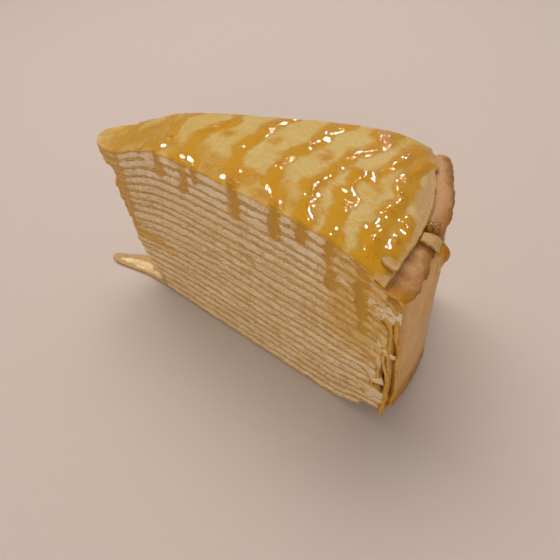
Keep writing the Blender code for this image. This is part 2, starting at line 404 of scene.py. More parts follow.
def cut_relief_tree():
    """Raggedness where the knife went: swells and small torn pits, and the two finishes."""
    tree = bpy.data.node_groups.new("cut_relief", "GeometryNodeTree")
    for name, kind in (("Geometry", "Geometry"), ("Depth", "Float"), ("Swell Size", "Float"),
                       ("Pit Depth", "Float"), ("Pit Size", "Float"), ("Grain Depth", "Float"),
                       ("Lift", "Float"), ("Seed", "Float"),
                       ("Skin", "Material"), ("Cut", "Material")):
        tree.interface.new_socket(name, in_out="INPUT", socket_type=f"NodeSocket{kind}")
    tree.interface.new_socket("Geometry", in_out="OUTPUT", socket_type="NodeSocketGeometry")
    given = place(tree, "NodeGroupInput").outputs
    here = place(tree, "GeometryNodeInputPosition").outputs[0]
    relief = place(tree, "GeometryNodeInputNamedAttribute", {"Name": "relief"}, data_type="FLOAT").outputs[0]
    noise = {"Vector": here, "W": given["Seed"], "Detail": 3.0, "Roughness": 0.6}
    noise["Scale"] = maths(tree, "DIVIDE", 1.0, given["Swell Size"])
    swell = place(tree, "ShaderNodeTexNoise", noise, noise_dimensions="4D").outputs[0]
    swell = maths(tree, "MULTIPLY", maths(tree, "SUBTRACT", swell, 0.5), given["Depth"])
    cells = {"Vector": here, "W": given["Seed"], "Scale": maths(tree, "DIVIDE", 1.0, given["Pit Size"])}
    nearest = place(tree, "ShaderNodeTexVoronoi", cells, voronoi_dimensions="4D").outputs["Distance"]
    pit = place(tree, "ShaderNodeMapRange", {0: nearest, 1: 0.12, 2: 0.3, 3: 1.0, 4: 0.0}).outputs[0]
    pit = maths(tree, "MULTIPLY", pit, given["Pit Depth"])
    swell = maths(tree, "MULTIPLY", swell, 2.0)
    amount = maths(tree, "MULTIPLY", maths(tree, "SUBTRACT", swell, pit), relief)
    grain = {"Vector": here, "W": given["Seed"], "Scale": 1400.0, "Detail": 1.0}
    grain = place(tree, "ShaderNodeTexNoise", grain, noise_dimensions="4D").outputs[0]
    grain = maths(tree, "MULTIPLY", maths(tree, "SUBTRACT", grain, 0.5), given["Grain Depth"])
    amount = maths(tree, "ADD", amount, maths(tree, "MULTIPLY", grain, relief))
    normal = place(tree, "GeometryNodeInputNormal").outputs[0]
    level = place(tree, "ShaderNodeCombineXYZ", {0: 1.0, 1: 1.0, 2: given["Lift"]}).outputs[0]
    normal = place(tree, "ShaderNodeVectorMath", {0: normal, 1: level}, operation="MULTIPLY").outputs[0]
    offset = place(tree, "ShaderNodeVectorMath", {0: normal, "Scale": amount}, operation="SCALE").outputs[0]
    shifted = {"Geometry": given["Geometry"], "Offset": offset}
    moved = place(tree, "GeometryNodeSetPosition", shifted).outputs[0]
    cut = place(tree, "GeometryNodeInputNamedAttribute", {"Name": "cut"}, data_type="FLOAT").outputs[0]
    real = place(tree, "GeometryNodeRealizeInstances", {"Geometry": moved}).outputs[0]
    skin = place(tree, "GeometryNodeSetMaterial", {"Geometry": real, "Material": given["Skin"]}).outputs[0]
    on_cut = {"Geometry": skin, "Material": given["Cut"], "Selection": maths(tree, "GREATER_THAN", cut, 0.5)}
    done = place(tree, "GeometryNodeSetMaterial", on_cut).outputs[0]
    place(tree, "NodeGroupOutput", {"Geometry": done})
    return tree


cut_relief = cut_relief_tree()


def dress(obj, tree, values):
    """Runs a geometry tree on a piece and keeps its result as a plain mesh."""
    modifier = obj.modifiers.new(tree.name, "NODES")
    modifier.node_group = tree
    for item in tree.interface.items_tree:
        if item.in_out == "INPUT" and item.name in values:
            modifier[item.identifier] = values[item.name]
    result = bpy.data.meshes.new_from_object(obj.evaluated_get(bpy.context.evaluated_depsgraph_get()))
    obj.modifiers.remove(modifier)
    result.name = obj.name
    obj.data = result
    return obj


def link(name, data):
    obj = bpy.data.objects.new(name, data)
    bpy.context.scene.collection.objects.link(obj)
    return obj


def merged(data, distance=1e-6):
    """Welds points that lie on each other, such as those along a spine or a pole."""
    mesh = bmesh.new()
    mesh.from_mesh(data)
    bmesh.ops.remove_doubles(mesh, verts=mesh.verts, dist=distance)
    bmesh.ops.dissolve_degenerate(mesh, dist=distance, edges=mesh.edges)
    mesh.to_mesh(data)
    mesh.free()


def shade(red, green, blue):
    """A linear colour from the everyday scale of 0 to 255."""
    return tuple(((value / 255.0 + 0.055) / 1.055) ** 2.4 for value in (red, green, blue)) + (1.0,)


def mixed(tree, factor, first, second):
    return place(tree, "ShaderNodeMix", {0: factor, 6: first, 7: second}, data_type="RGBA").outputs[2]


def ranged(tree, value, start, end, low=0.0, high=1.0):
    return place(tree, "ShaderNodeMapRange", {0: value, 1: start, 2: end, 3: low, 4: high}).outputs[0]


def effect_group(name, inputs, outputs):
    group = bpy.data.node_groups.new(name, "ShaderNodeTree")
    for label, kind, value in inputs:
        socket = group.interface.new_socket(label, in_out="INPUT", socket_type=f"NodeSocket{kind}")
        if value is not None:
            socket.default_value = value
    for label in outputs:
        group.interface.new_socket(label, in_out="OUTPUT", socket_type="NodeSocketFloat")
    return group, place(group, "NodeGroupInput").outputs


def griddle_group():
    """Where batter touched the hot pan: soft brown blotches broken up by small bubbles."""
    inputs = (("Vector", "Vector", None), ("Size", "Float", 0.01), ("Seed", "Float", 0.0),
              ("Cover", "Float", 0.5))
    group, given = effect_group("griddle_marks", inputs, ("Brown", "Height"))
    scale = maths(group, "DIVIDE", 1.0, given["Size"])
    broad = {"Vector": given["Vector"], "W": given["Seed"], "Scale": scale, "Detail": 4.0, "Roughness": 0.55}
    broad = place(group, "ShaderNodeTexNoise", broad, noise_dimensions="4D").outputs[0]
    fine = {"Vector": given["Vector"], "W": given["Seed"], "Scale": maths(group, "MULTIPLY", scale, 4.5)}
    fine = place(group, "ShaderNodeTexNoise", fine, noise_dimensions="4D").outputs[0]
    both = maths(group, "ADD", maths(group, "MULTIPLY", broad, 0.7), maths(group, "MULTIPLY", fine, 0.3))
    start = maths(group, "SUBTRACT", 0.68, maths(group, "MULTIPLY", given["Cover"], 0.36))
    brown = maths(group, "SUBTRACT", both, start)
    brown = ranged(group, brown, 0.0, 0.16)
    bubbles = {"Vector": given["Vector"], "Scale": maths(group, "MULTIPLY", scale, 6.0)}
    bubbles = place(group, "ShaderNodeTexVoronoi", bubbles, feature="SMOOTH_F1").outputs["Distance"]
    height = maths(group, "ADD", maths(group, "MULTIPLY", both, 0.6), maths(group, "MULTIPLY", bubbles, 0.4))
    place(group, "NodeGroupOutput", {"Brown": brown, "Height": height})
    return group


def crumb_group():
    """The fine inside of cooked batter or set cream: soft grain and little pores."""
    inputs = (("Vector", "Vector", None), ("Size", "Float", 0.001), ("Seed", "Float", 0.0))
    group, given = effect_group("fine_crumb", inputs, ("Grain", "Pores", "Height"))
    scale = maths(group, "DIVIDE", 1.0, given["Size"])
    grain = {"Vector": given["Vector"], "W": given["Seed"], "Scale": scale, "Detail": 5.0, "Roughness": 0.65}
    grain = place(group, "ShaderNodeTexNoise", grain, noise_dimensions="4D").outputs[0]
    cells = {"Vector": given["Vector"], "W": given["Seed"], "Scale": maths(group, "MULTIPLY", scale, 0.7)}
    nearest = place(group, "ShaderNodeTexVoronoi", cells, voronoi_dimensions="4D").outputs["Distance"]
    pores = ranged(group, nearest, 0.1, 0.28, 1.0, 0.0)
    raised = maths(group, "MULTIPLY", grain, 0.7)
    height = maths(group, "SUBTRACT", raised, maths(group, "MULTIPLY", pores, 0.3))
    place(group, "NodeGroupOutput", {"Grain": grain, "Pores": pores, "Height": height})
    return group


griddle_marks = griddle_group()
fine_crumb = crumb_group()


def effect(tree, group, inputs):
    return place(tree, "ShaderNodeGroup", inputs, node_tree=group).outputs


def finish_of(name):
    """A new material: its tree, its shader and the object's own coordinates."""
    material = bpy.data.materials.new(name)
    material.use_nodes = True
    tree = material.node_tree
    where = place(tree, "ShaderNodeTexCoord").outputs["Object"]
    return material, tree, tree.nodes["Principled BSDF"], where


def mask(tree, name):
    return place(tree, "ShaderNodeAttribute", attribute_name=name).outputs["Fac"]


def stretched(tree, where, scale):
    return place(tree, "ShaderNodeMapping", {"Vector": where, "Scale": scale}).outputs[0]


def roughened(tree, shader, height, distance, strength=1.0):
    bump = place(tree, "ShaderNodeBump", {"Height": height, "Distance": distance, "Strength": strength})
    tree.links.new(bump.outputs[0], shader.inputs["Normal"])


def crepe_skin_finish(name, dark, light, fried, browned, wetted):
    """The flat faces: pale egg batter with brown pan marks, darker and dry towards a rim."""
    material, tree, shader, where = finish_of(name)
    marks = effect(tree, griddle_marks, {"Vector": where, "Size": 0.012, "Seed": 1.0, "Cover": 0.5})
    freckles = effect(tree, griddle_marks, {"Vector": where, "Size": 0.0042, "Seed": 22.0, "Cover": 0.3})
    crumb = effect(tree, fine_crumb, {"Vector": where, "Size": 0.0012, "Seed": 2.0})
    tint = mixed(tree, ranged(tree, crumb["Grain"], 0.3, 0.7), dark, light)
    tint = mixed(tree, maths(tree, "MULTIPLY", marks["Brown"], 0.5), tint, fried)
    tint = mixed(tree, maths(tree, "MULTIPLY", freckles["Brown"], 0.35), tint, fried)
    rim = maths(tree, "MULTIPLY", mask(tree, "rim"), ranged(tree, freckles["Height"], 0.25, 0.5, 0.6, 1.0))
    tint = mixed(tree, rim, tint, browned)
    tint = mixed(tree, maths(tree, "MULTIPLY", mask(tree, "soaked"), 0.85), tint, wetted)
    tree.links.new(tint, shader.inputs["Base Color"])
    wet = ranged(tree, crumb["Grain"], 0.3, 0.7, 0.38, 0.56)
    tree.links.new(wet, shader.inputs["Roughness"])
    shader.inputs["Specular IOR Level"].default_value = 0.15
    shader.inputs["Subsurface Weight"].default_value = 0.15
    shader.inputs["Subsurface Radius"].default_value = (1.0, 0.8, 0.5)
    shader.inputs["Subsurface Scale"].default_value = 0.0015
    height = maths(tree, "ADD", marks["Height"], maths(tree, "MULTIPLY", crumb["Height"], 0.35))
    roughened(tree, shader, height, 0.0009, 0.7)
    return material


def crepe_cut_finish():
    """Where the knife went: each crepe shows as a thin dark line of painted shade along its lower edge, where
    the gap to the cream lies, broken up and smeared over here and there.
    """
    material, tree, shader, where = finish_of("crepe_cut")
    crumb = effect(tree, fine_crumb, {"Vector": where, "Size": 0.0008, "Seed": 5.0})
    along = stretched(tree, where, (1.0, 1.0, 5.0))
    dashes = effect(tree, griddle_marks, {"Vector": along, "Size": 0.008, "Seed": 8.0, "Cover": 0.42})
    smears = effect(tree, griddle_marks, {"Vector": along, "Size": 0.013, "Seed": 27.0, "Cover": 0.62})
    patches = effect(tree, griddle_marks, {"Vector": where, "Size": 0.018, "Seed": 3.0, "Cover": 0.5})
    tint = mixed(tree, ranged(tree, crumb["Grain"], 0.3, 0.7), shade(206, 166, 98), shade(226, 192, 132))
    tint = mixed(tree, maths(tree, "MULTIPLY", smears["Brown"], 0.75), tint, shade(234, 202, 150))
    # The line is painted shade of the narrow gap between each crepe and the cream below it, broken into
    # dashes.
    share = maths(tree, "ADD", mask(tree, "share"), maths(tree, "MULTIPLY", crumb["Grain"], 0.5))
    low = maths(tree, "SUBTRACT", 1.0, ranged(tree, share, 0.42, 0.66))
    high = maths(tree, "MULTIPLY", ranged(tree, share, 1.1, 1.28), 0.55)
    line = maths(tree, "MAXIMUM", low, high)
    line = maths(tree, "MULTIPLY", line, ranged(tree, dashes["Height"], 0.27, 0.52, 0.15, 1.0))
    gold = effect(tree, griddle_marks, {"Vector": along, "Size": 0.012, "Seed": 33.0, "Cover": 0.42})
    tint = mixed(tree, ranged(tree, gold["Height"], 0.34, 0.5, 0.0, 0.42), tint, shade(202, 150, 34))
    brown = effect(tree, griddle_marks, {"Vector": along, "Size": 0.016, "Seed": 52.0, "Cover": 0.4})
    tint = mixed(tree, ranged(tree, brown["Height"], 0.4, 0.54, 0.0, 0.25), tint, shade(156, 104, 36))
    tint = mixed(tree, maths(tree, "MULTIPLY", line, 0.9), tint, shade(138, 92, 14))
    tint = mixed(tree, maths(tree, "MULTIPLY", dashes["Brown"], 0.6), tint, shade(184, 128, 40))
    tint = mixed(tree, maths(tree, "MULTIPLY", patches["Brown"], 0.3), tint, shade(208, 154, 62))
    # Painted shade in the pores: they are darkened as well as sunk by the bump.
    tint = mixed(tree, maths(tree, "MULTIPLY", crumb["Pores"], 0.8), tint, shade(122, 76, 20))
    tint = mixed(tree, maths(tree, "MULTIPLY", mask(tree, "soaked"), 0.85), tint, shade(208, 148, 4))
    tree.links.new(tint, shader.inputs["Base Color"])
    tree.links.new(ranged(tree, crumb["Grain"], 0.3, 0.7, 0.34, 0.52), shader.inputs["Roughness"])
    shader.inputs["Specular IOR Level"].default_value = 0.35
    shader.inputs["Subsurface Weight"].default_value = 0.15
    shader.inputs["Subsurface Radius"].default_value = (1.0, 0.8, 0.5)
    shader.inputs["Subsurface Scale"].default_value = 0.001
    roughened(tree, shader, crumb["Height"], 0.0005, 0.8)
    return material


crepe_skin = crepe_skin_finish("crepe_skin", shade(206, 158, 100), shade(222, 180, 124), shade(198, 140, 72),
                               shade(142, 84, 22), shade(190, 128, 24))
# The flap's skin is the crepe skin made darker: painted shade, so that the flap, which faces the light, looks
# as dark as the hanging sides.
flap_skin_with_painted_shade = crepe_skin_finish("flap_skin_with_painted_shade", shade(176, 130, 82), shade(196, 152, 104), shade(168, 116, 62),
                              shade(134, 80, 12), shade(172, 114, 24))
pale_skin = crepe_skin_finish("pale_skin", shade(172, 134, 84), shade(192, 158, 108), shade(168, 120, 54),
                              shade(132, 84, 24), shade(170, 116, 20))
crepe_cut = crepe_cut_finish()


# The caramel sauce that is poured on last soaks into every layer that it passes.
# Each line of sauce: half its width and its depth, and places as how far forward and how far
# inward, where less than nothing is down the cut. All in millimetres.
DRIZZLES = (
    (1.9, 0.26, ((6.2, 17.4), (4.0, 8.6), (5.8, 1.6), (6.5, -6), (4.6, -20), (4.0, -30), (5.0, -38))),
    (1.9, 0.26, ((16.3, 20.5), (18, 15.6), (20.6, 6), (22, 1))),
    (2.1, 0.34, ((22.8, 24.0), (25, 14.7), (29.4, 6), (30.2, 0), (29.8, -4), (29.1, -7.5))),
    (2.2, 0.44, ((36.4, 31.0), (39, 27), (35.5, 15.6), (39, 6.9), (41.5, 0), (40.5, -6), (38.9, -11.5))),
    (1.8, 0.34, ((42, 4), (47.2, 0), (46.9, -3), (46.6, -5.5))),
    (2.2, 0.50, ((54, 39.5), (52.6, 36.1), (51.7, 27.9), (53, 13.9), (55.6, 8.6), (62, 1), (62.6, -5),
                 (62.5, -10.5))),
    (2.3, 0.50, ((70, 47.0), (67.9, 42.4), (67.9, 32.2), (67, 14.7), (70.5, 8.6), (77, 1), (77.6, -5),
                 (77.7, -9))),
    (2.3, 0.54, ((85, 54), (82.8, 47), (84.1, 39.2), (81, 32.2), (81.9, 23.5), (80.1, 13), (86, 2),
                 (86.8, -5.5))),
    (2.2, 0.54, ((93, 54), (92.4, 44.5), (91.5, 28.7), (88, 25.2), (90.6, 14.7), (95, 3), (96.4, -5),
                 (96.7, -18))),
    (2.3, 0.54, ((97.6, 48.9), (98.1, 35.7), (101.1, 27), (102.9, 15.6), (105.5, 5.1), (106, -4),
                 (108.1, -25))),
    (2.0, 0.48, ((106.4, 22), (108.1, 13.9), (109, 4.2))),
)
# Each pool: its middle, how far it spreads forward and inward, and its depth.
POOLS = (
    (37, 4, 4, 3, 0.26), (59, 5, 4, 4, 0.26), (91.5, 14, 4, 3.5, 0.30), (89.5, 26, 4.5, 3, 0.56),
    (83, 46.5, 2.8, 4, 0.58), (104.5, 8, 4, 4.5, 0.32), (95.5, 1, 3, 3, 0.26),
)
# Where the top crepe has turned golden with sauce: a middle, and how far forward and inward.
GOLDEN = (
    (3, 6, 10, 12), (13, 8, 9, 9), (21, 6, 9, 9), (30, 4, 9, 8), (40, 5, 9, 8), (51, 4, 9, 7), (62, 5, 9, 8),
    (73, 5, 8, 8), (84, 4, 7, 6), (76, 27, 3, 5), (43, 20, 5, 4), (58, 24, 3, 4), (68, 14, 4, 5),
    (104, 8, 5, 6),
)
# Each bead that stands up from a line: its middle and its radius.
BEADS = (
    (38.6, 27, 1.6), (36.0, 15.6, 1.5), (37.4, 20, 0.9), (53.2, 38, 1.6), (51.7, 28, 1.7), (53, 14, 1.5),
    (52.2, 33, 1.0),
    (68.6, 42, 1.7), (68, 36, 1.9), (67.6, 30, 1.3), (67, 15, 1.4), (67.3, 22, 1.0), (83.4, 49, 1.7),
    (83, 44, 1.9),
    (81.2, 31, 1.5), (81.6, 24, 1.2), (92.4, 44.5, 1.8), (91.8, 36, 1.3), (89, 27, 2.0), (98.1, 35.7, 1.7),
    (100.6, 28, 1.5), (102.4, 19, 1.3), (107.2, 19, 1.5), (108.3, 13, 1.3), (29, 7, 1.2), (24.6, 16, 1.1),
    (62.3, 1.5, 1.4),
    (18, 15, 1.0), (104.8, 8, 1.5), (77, 1.5, 1.2), (91.5, 13, 1.2),
)


def distance_to_line(x, y, points):
    """The distance from each place to a line through these points."""
    nearest = np.full(np.broadcast(x, y).shape, np.inf)
    for (x0, y0), (x1, y1) in zip(points[:-1], points[1:]):
        reach = (x1 - x0) ** 2 + (y1 - y0) ** 2
        share = np.clip(((x - x0) * (x1 - x0) + (y - y0) * (y1 - y0)) / reach, 0.0, 1.0)
        nearest = np.minimum(nearest, np.hypot(x - x0 - share * (x1 - x0), y - y0 - share * (y1 - y0)))
    return nearest


def rounded_depth(share, half_width, depth):
    """A drop's profile: full in the middle, and falling away to just under the surface beside it."""
    inside = depth * np.maximum(1.0 - share**2, 0.0) ** 1.4
    return np.where(share < 1.0, inside, -0.30 * (share - 1.0) * half_width)


def sauce_depth(forward, inward):
    """The sauce's depth at a place on the top, or down the front cut where inward is below nothing."""
    x = forward * 1000.0 + 1.0 * wander(forward, inward, 0.0060, 61)
    x = x + 0.5 * wander(forward, inward, 0.0018, 62)
    y = inward * 1000.0 + 1.0 * wander(forward, inward, 0.0060, 63)
    y = y + 0.5 * wander(forward, inward, 0.0018, 66)
    down = inward < 0.0
    depth = np.full(x.shape, -3.0)
    for half_width, deep, points in DRIZZLES:
        uneven = 1.0 + 0.42 * wander(forward + 0.01 * half_width, inward, 0.0050, 64)
        share = distance_to_line(x, y, points) / (half_width * uneven * np.where(down, 0.72, 0.98))
        deep = deep * (0.75 + 0.6 * wander(forward, inward, 0.0055, 65)) * np.where(down, 0.5, 1.0)
        depth = np.maximum(depth, rounded_depth(share, half_width, deep))
    for pool_x, pool_y, wide, deep_in, deep in POOLS:
        far = 2.2 * wander(forward, inward, 0.011, 67)
        share = np.hypot((x + far - pool_x) / wide, (y - far - pool_y) / deep_in)
        depth = np.maximum(depth, rounded_depth(share, min(wide, deep_in), deep * np.where(down, 0.5, 1.0)))
    for bead_x, bead_y, radius in BEADS:
        share = np.hypot(x - bead_x, y - bead_y) / radius
        depth = depth + 0.36 * np.maximum(1.0 - share**2, 0.0) ** 1.2 * (depth > -0.05)
    ripple = 0.05 * wander(forward, inward, 0.0014, 68) + 0.03 * wander(forward, inward, 0.0008, 69)
    return (depth + ripple * smooth(depth / 0.3)) / 1000.0


def golden_at(forward, inward):
    """How golden with sauce the top crepe is here, from 0 to 1."""
    x = forward * 1000.0 + 2.0 * wander(forward, inward, 0.006, 71) + 0.8 * wander(forward, inward, 0.002, 72)
    y = inward * 1000.0 + 2.0 * wander(forward, inward, 0.006, 73) + 0.8 * wander(forward, inward, 0.002, 74)
    golden = smooth(1.1 + 1000.0 * sauce_depth(forward, inward) / 0.36)
    for gold_x, gold_y, wide, deep_in in GOLDEN:
        far = np.hypot((x - gold_x) / wide, (y - gold_y) / deep_in)
        golden = np.maximum(golden, smooth(1.6 * (1.0 - far)))
    mottled = 0.86 + 0.22 * wander(forward, inward, 0.0024, 75) + 0.14 * wander(forward, inward, 0.0010, 76)
    return np.clip(golden * mottled, 0.0, 1.0)


TOP_THICKNESS = 0.0009


def top_height(forward, inward):
    """The height of the top crepe's upper face."""
    ripple = 0.00022 * wander(forward, inward, 0.010, 51) + 0.00010 * wander(forward, inward, 0.0035, 52)
    return level_height(CREPES, forward, inward) + TOP_THICKNESS + ripple


def soaked_at(forward, inward, height):
    """How much sauce has soaked into a cut here, from 0 to 1."""
    tip = np.hypot(forward + 0.001, 0.35 * inward)
    soaked = (1.0 - smooth((tip - 0.004) / 0.005)) * smooth((height - 0.020) / 0.010)
    line = np.exp(-(((height - 0.029) / 0.0022) ** 2)) * smooth(forward / 0.004)
    line = line * (1.0 - smooth((forward - 0.018) / 0.014)) * (inward < 0.004)
    corner = smooth((forward - 0.090) / 0.012) * smooth((height - 0.026) / 0.016)
    corner = corner * (1.0 - smooth((inward - 0.001) / 0.006)) * 0.75
    patches = 0.5 + 0.5 * wander(forward, height + inward, 0.006, 21)
    soaked = np.maximum(np.maximum(soaked, line), corner) * (0.55 + 0.6 * patches)
    down = np.minimum(height - top_height(forward, 0.0 * forward), -0.0001)
    stain = np.clip(1.0 + 1000.0 * sauce_depth(forward, down) / 0.5, 0.0, 1.0) * (inward < 0.003)
    return np.clip(np.maximum(soaked, 0.9 * stain), 0.0, 1.0)


def painted(data, name, values):
    values = np.ascontiguousarray(values, dtype=float)
    data.attributes.new(name, "FLOAT", "POINT").data.foreach_set("value", values)


def cake_places(data):
    """How far forward, inward and up from the cake's centre each of a mesh's points lies."""
    points = np.empty(len(data.vertices) * 3)
    data.vertices.foreach_get("co", points)
    points = points.reshape(-1, 3) - cake_centre
    sine, cosine = math.sin(MIDDLE_ANGLE), math.cos(MIDDLE_ANGLE)
    forward = points[:, 0] * cosine - points[:, 1] * sine
    inward = points[:, 0] * sine + points[:, 1] * cosine
    return forward, inward, points[:, 2]


def soak(data):
    """Writes the soaked mask from the places of a mesh's points."""
    painted(data, "soaked", soaked_at(*cake_places(data)))


def to_object(forward, inward, height):
    return turned(forward, inward, height) + cake_centre


RAGGED_CREPE = {"Depth": 0.0008, "Swell Size": 0.004, "Pit Depth": 0.0003, "Pit Size": 0.0014,
                "Grain Depth": 0.0006, "Lift": 0.2, "Seed": 3.0, "Skin": crepe_skin, "Cut": crepe_cut}


def flat_layer(name, nose, radius, reach, low, high, recess, wall_steps, bulge, under_cover=None):
    """A flat layer's closed mesh. Low and high give its under and upper face's height at a place,
    and with a level under cover, both reach out to the crepe that hangs over that level."""
    faces = []
    for lie in (low, high):
        filled = None
        if under_cover is not None:
            def filled(across, lie=lie):
                return filled_radius(under_cover, lie(*in_plan(across, 2.0, nose, radius - 0.003)), across)
        forward, inward = ring_places(nose, radius, reach, recess, filled)
        inward = inward - TONGUE_TURN * smooth((0.004 - forward) / 0.022) * (nose <= -TONGUE_LENGTH)
        faces.append(to_object(forward, inward, lie(forward, inward)))
    data = closed_mesh(name, faces[0], faces[1], wall_steps, bulge, spine=True)
    soak(data)
    merged(data)
    return data


def crepe_layer(level, reach=2.0):
    return flat_layer(
        f"crepe_layer_{level:02d}", nose_of(level), flat_radius(level), reach,
        lambda forward, inward: level_height(level, forward, inward),
        lambda forward, inward: level_height(level, forward, inward) + CREPE_THICKNESS,
        0.0, 3, 0.0001, level if level not in HANGING else None,
    )


def kept(piece, slot, *nodes):
    """The piece rides on the cake's one body and stands for these solids."""
    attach(piece, "root")
    if nodes:
        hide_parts(*nodes)


for level in range(1, CREPES):
    if level not in HANGING:
        layer = link(f"crepe_layer_{level:02d}", crepe_layer(level))
        skin = pale_skin if level == 1 else crepe_skin
        kept(dress(layer, cut_relief, dict(RAGGED_CREPE, Skin=skin)), "crepe", f"crepe_{level:02d}")


# --- The hanging crepes -----------------------------------------------------------------------
# Seven wider crepes bend down over the outer side. The second from the top ends there in a short
# rumpled flap, and the others hang against the side like a curtain, drawn back from the front
# corner. Their ragged hems fried dark and crisp in the pan.

BEND_ROWS = 12
HANG_ROW = 0.0007
HANG_COLUMNS = 141
HANG_THICKNESS = 0.00125
HEM_FLARE = 0.0008
RUMPLE = {20: 0.0009, 19: 0.0004}
# Where the flap browned in the pan or took up sauce: an angle from the front cut in degrees, a
# distance from the cake's centre, a height, and a size, in millimetres.
FLAP_BROWNED = (
    (1, 115, 65.3, 2.6), (3.5, 114, 65.5, 2.8), (6.5, 113.3, 65.7, 3.0), (9.3, 112.8, 65.8, 2.6),
    (12.6, 114.6, 65.2, 2.8), (30.5, 115, 63.9, 1.6), (27, 117, 63.4, 1.5), (23.5, 118.3, 62.5, 1.4),
)
SIDE_SOAKED = ((1, 117, 14, 9), (3, 117, 6, 8), (6, 116.5, 3, 6), (1, 117, 24, 6), (14.5, 118, 56, 3),
               (16, 118.5, 48, 3.5), (17, 118.5, 40, 4), (17, 118.5, 32, 4))


def rumple(level, across, walk):
    """Creases of the two outermost crepes, which lie loosely over the shoulder. Walk is how far
    down the crepe a place lies from where it starts to bend."""
    slant = wander(across * RIM_ARC + 0.6 * walk, walk, 0.0110, 43)
    crease = 0.7 - 2.0 * np.abs(slant) + 0.35 * wander(across * RIM_ARC, walk, 0.0030, 44)
    return RUMPLE.get(level, 0.0) * crease * smooth(walk / 0.004)


def curtain(level):
    """The part of a hanging crepe outside the shoulder, as grids of its inner and outer face."""
    across = np.linspace(0.0, 1.0, HANG_COLUMNS)[None, :]
    radius = tucked(hanging_radius(level), across)
    along = np.linspace(1.0, 2.0, 22)[:-1, None]
    flat_forward, flat_inward = in_plan(across + 0.0 * along, along + 0.0 * across, 0.0, flat_radius(level))
    lie = level_height(level, flat_forward, flat_inward)
    rim_forward, rim_inward = in_plan(across, 2.0 + 0.0 * across, 0.0, flat_radius(level))
    top = level_height(level, rim_forward, rim_inward) + CREPE_THICKNESS
    drop = np.maximum(top - hem_height(level, across), 0.0007)
    bent = RIM_BEND * np.arccos(np.clip(1.0 - drop / RIM_BEND, 0.0, 1.0))
    length = bent + np.maximum(drop - RIM_BEND, 0.0)
    rows = BEND_ROWS + int(length.max() / HANG_ROW)
    walk = np.linspace(0.0, 1.0, rows)[:, None] * length
    turn = np.minimum(walk / RIM_BEND, math.pi / 2)
    hang = np.maximum(walk - RIM_BEND * math.pi / 2, 0.0)
    flare = HEM_FLARE * np.exp(-(length - walk) / 0.0022) + rumple(level, across, walk)
    faces = []
    for inset, lift in ((HANG_THICKNESS, 0.0), (0.0, CREPE_THICKNESS)):
        out = radius - RIM_BEND + (RIM_BEND - inset + flare) * np.sin(turn)
        height = top - RIM_BEND + (RIM_BEND - inset + flare) * np.cos(turn) - hang
        out = out + fold(across, height) + stand(level, across, height)
        angle = across * rear_angle(radius)
        forward = np.concatenate((flat_forward, out * np.cos(angle)))
        inward = np.concatenate((flat_inward, out * np.sin(angle)))
        faces.append(to_object(forward, inward, np.concatenate((lie + lift, height))))
    crisp = np.concatenate((np.zeros_like(flat_forward), np.exp(-(length - walk) / 0.0028)))
    return faces[0], faces[1], np.clip(crisp, 0.0, 1.0)


def spotted(places, spots):
    """A mask that is 1 at each spot and fades round it."""
    forward, inward, height = places
    cover = np.zeros(len(forward))
    for angle, radius, up, size in spots:
        angle = math.radians(angle)
        away = (forward - 0.001 * radius * math.cos(angle)) ** 2
        away = away + (inward - 0.001 * radius * math.sin(angle)) ** 2
        away = away + (height - 0.001 * up) ** 2
        cover = np.maximum(cover, np.exp(-away / (0.001 * size) ** 2))
    return cover


def joined(name, *meshes):
    """One mesh of several, with their masks kept."""
    mesh = bmesh.new()
    for data in meshes:
        mesh.from_mesh(data)
    whole = bpy.data.meshes.new(name)
    mesh.to_mesh(whole)
    mesh.free()
    return whole


RAGGED_HANGING = dict(RAGGED_CREPE, Lift=1.0)
for level in HANGING:
    inner, outer, crisp = curtain(level)
    skirt = closed_mesh(f"curtain_{level:02d}", inner, outer, 3, 0.0002, spine=False)
    places = cake_places(skirt)
    wet = spotted(places, SIDE_SOAKED) * (0.8 + 0.4 * wander(places[1], places[2], 0.003, 46))
    painted(skirt, "soaked", np.clip(np.maximum(soaked_at(*places), wet), 0.0, 1.0))
    browned = spotted(places, FLAP_BROWNED) if level == 20 else np.zeros(len(places[0]))
    browned[:2 * crisp.size] = np.maximum(browned[:2 * crisp.size], np.tile(crisp.ravel(), 2))
    painted(skirt, "rim", browned)
    flat = crepe_layer(level, reach=1.0)
    painted(flat, "rim", np.zeros(len(flat.vertices)))
    layer = link(f"crepe_hanging_{level:02d}", joined(f"crepe_hanging_{level:02d}", flat, skirt))
    # The flap of level 20 takes the skin with painted shade.
    skin = flap_skin_with_painted_shade if level == 20 else crepe_skin
    kept(dress(layer, cut_relief, dict(RAGGED_HANGING, Skin=skin)), "crepe", f"crepe_{level:02d}")


# --- The cream --------------------------------------------------------------------------------
# Vanilla pastry cream is spread with a palette knife between the crepes, one thin layer on each.
# On the cuts it has smeared a little and shows pores, and the top layers are whiter.

CREAM_RECESS = 0.00008


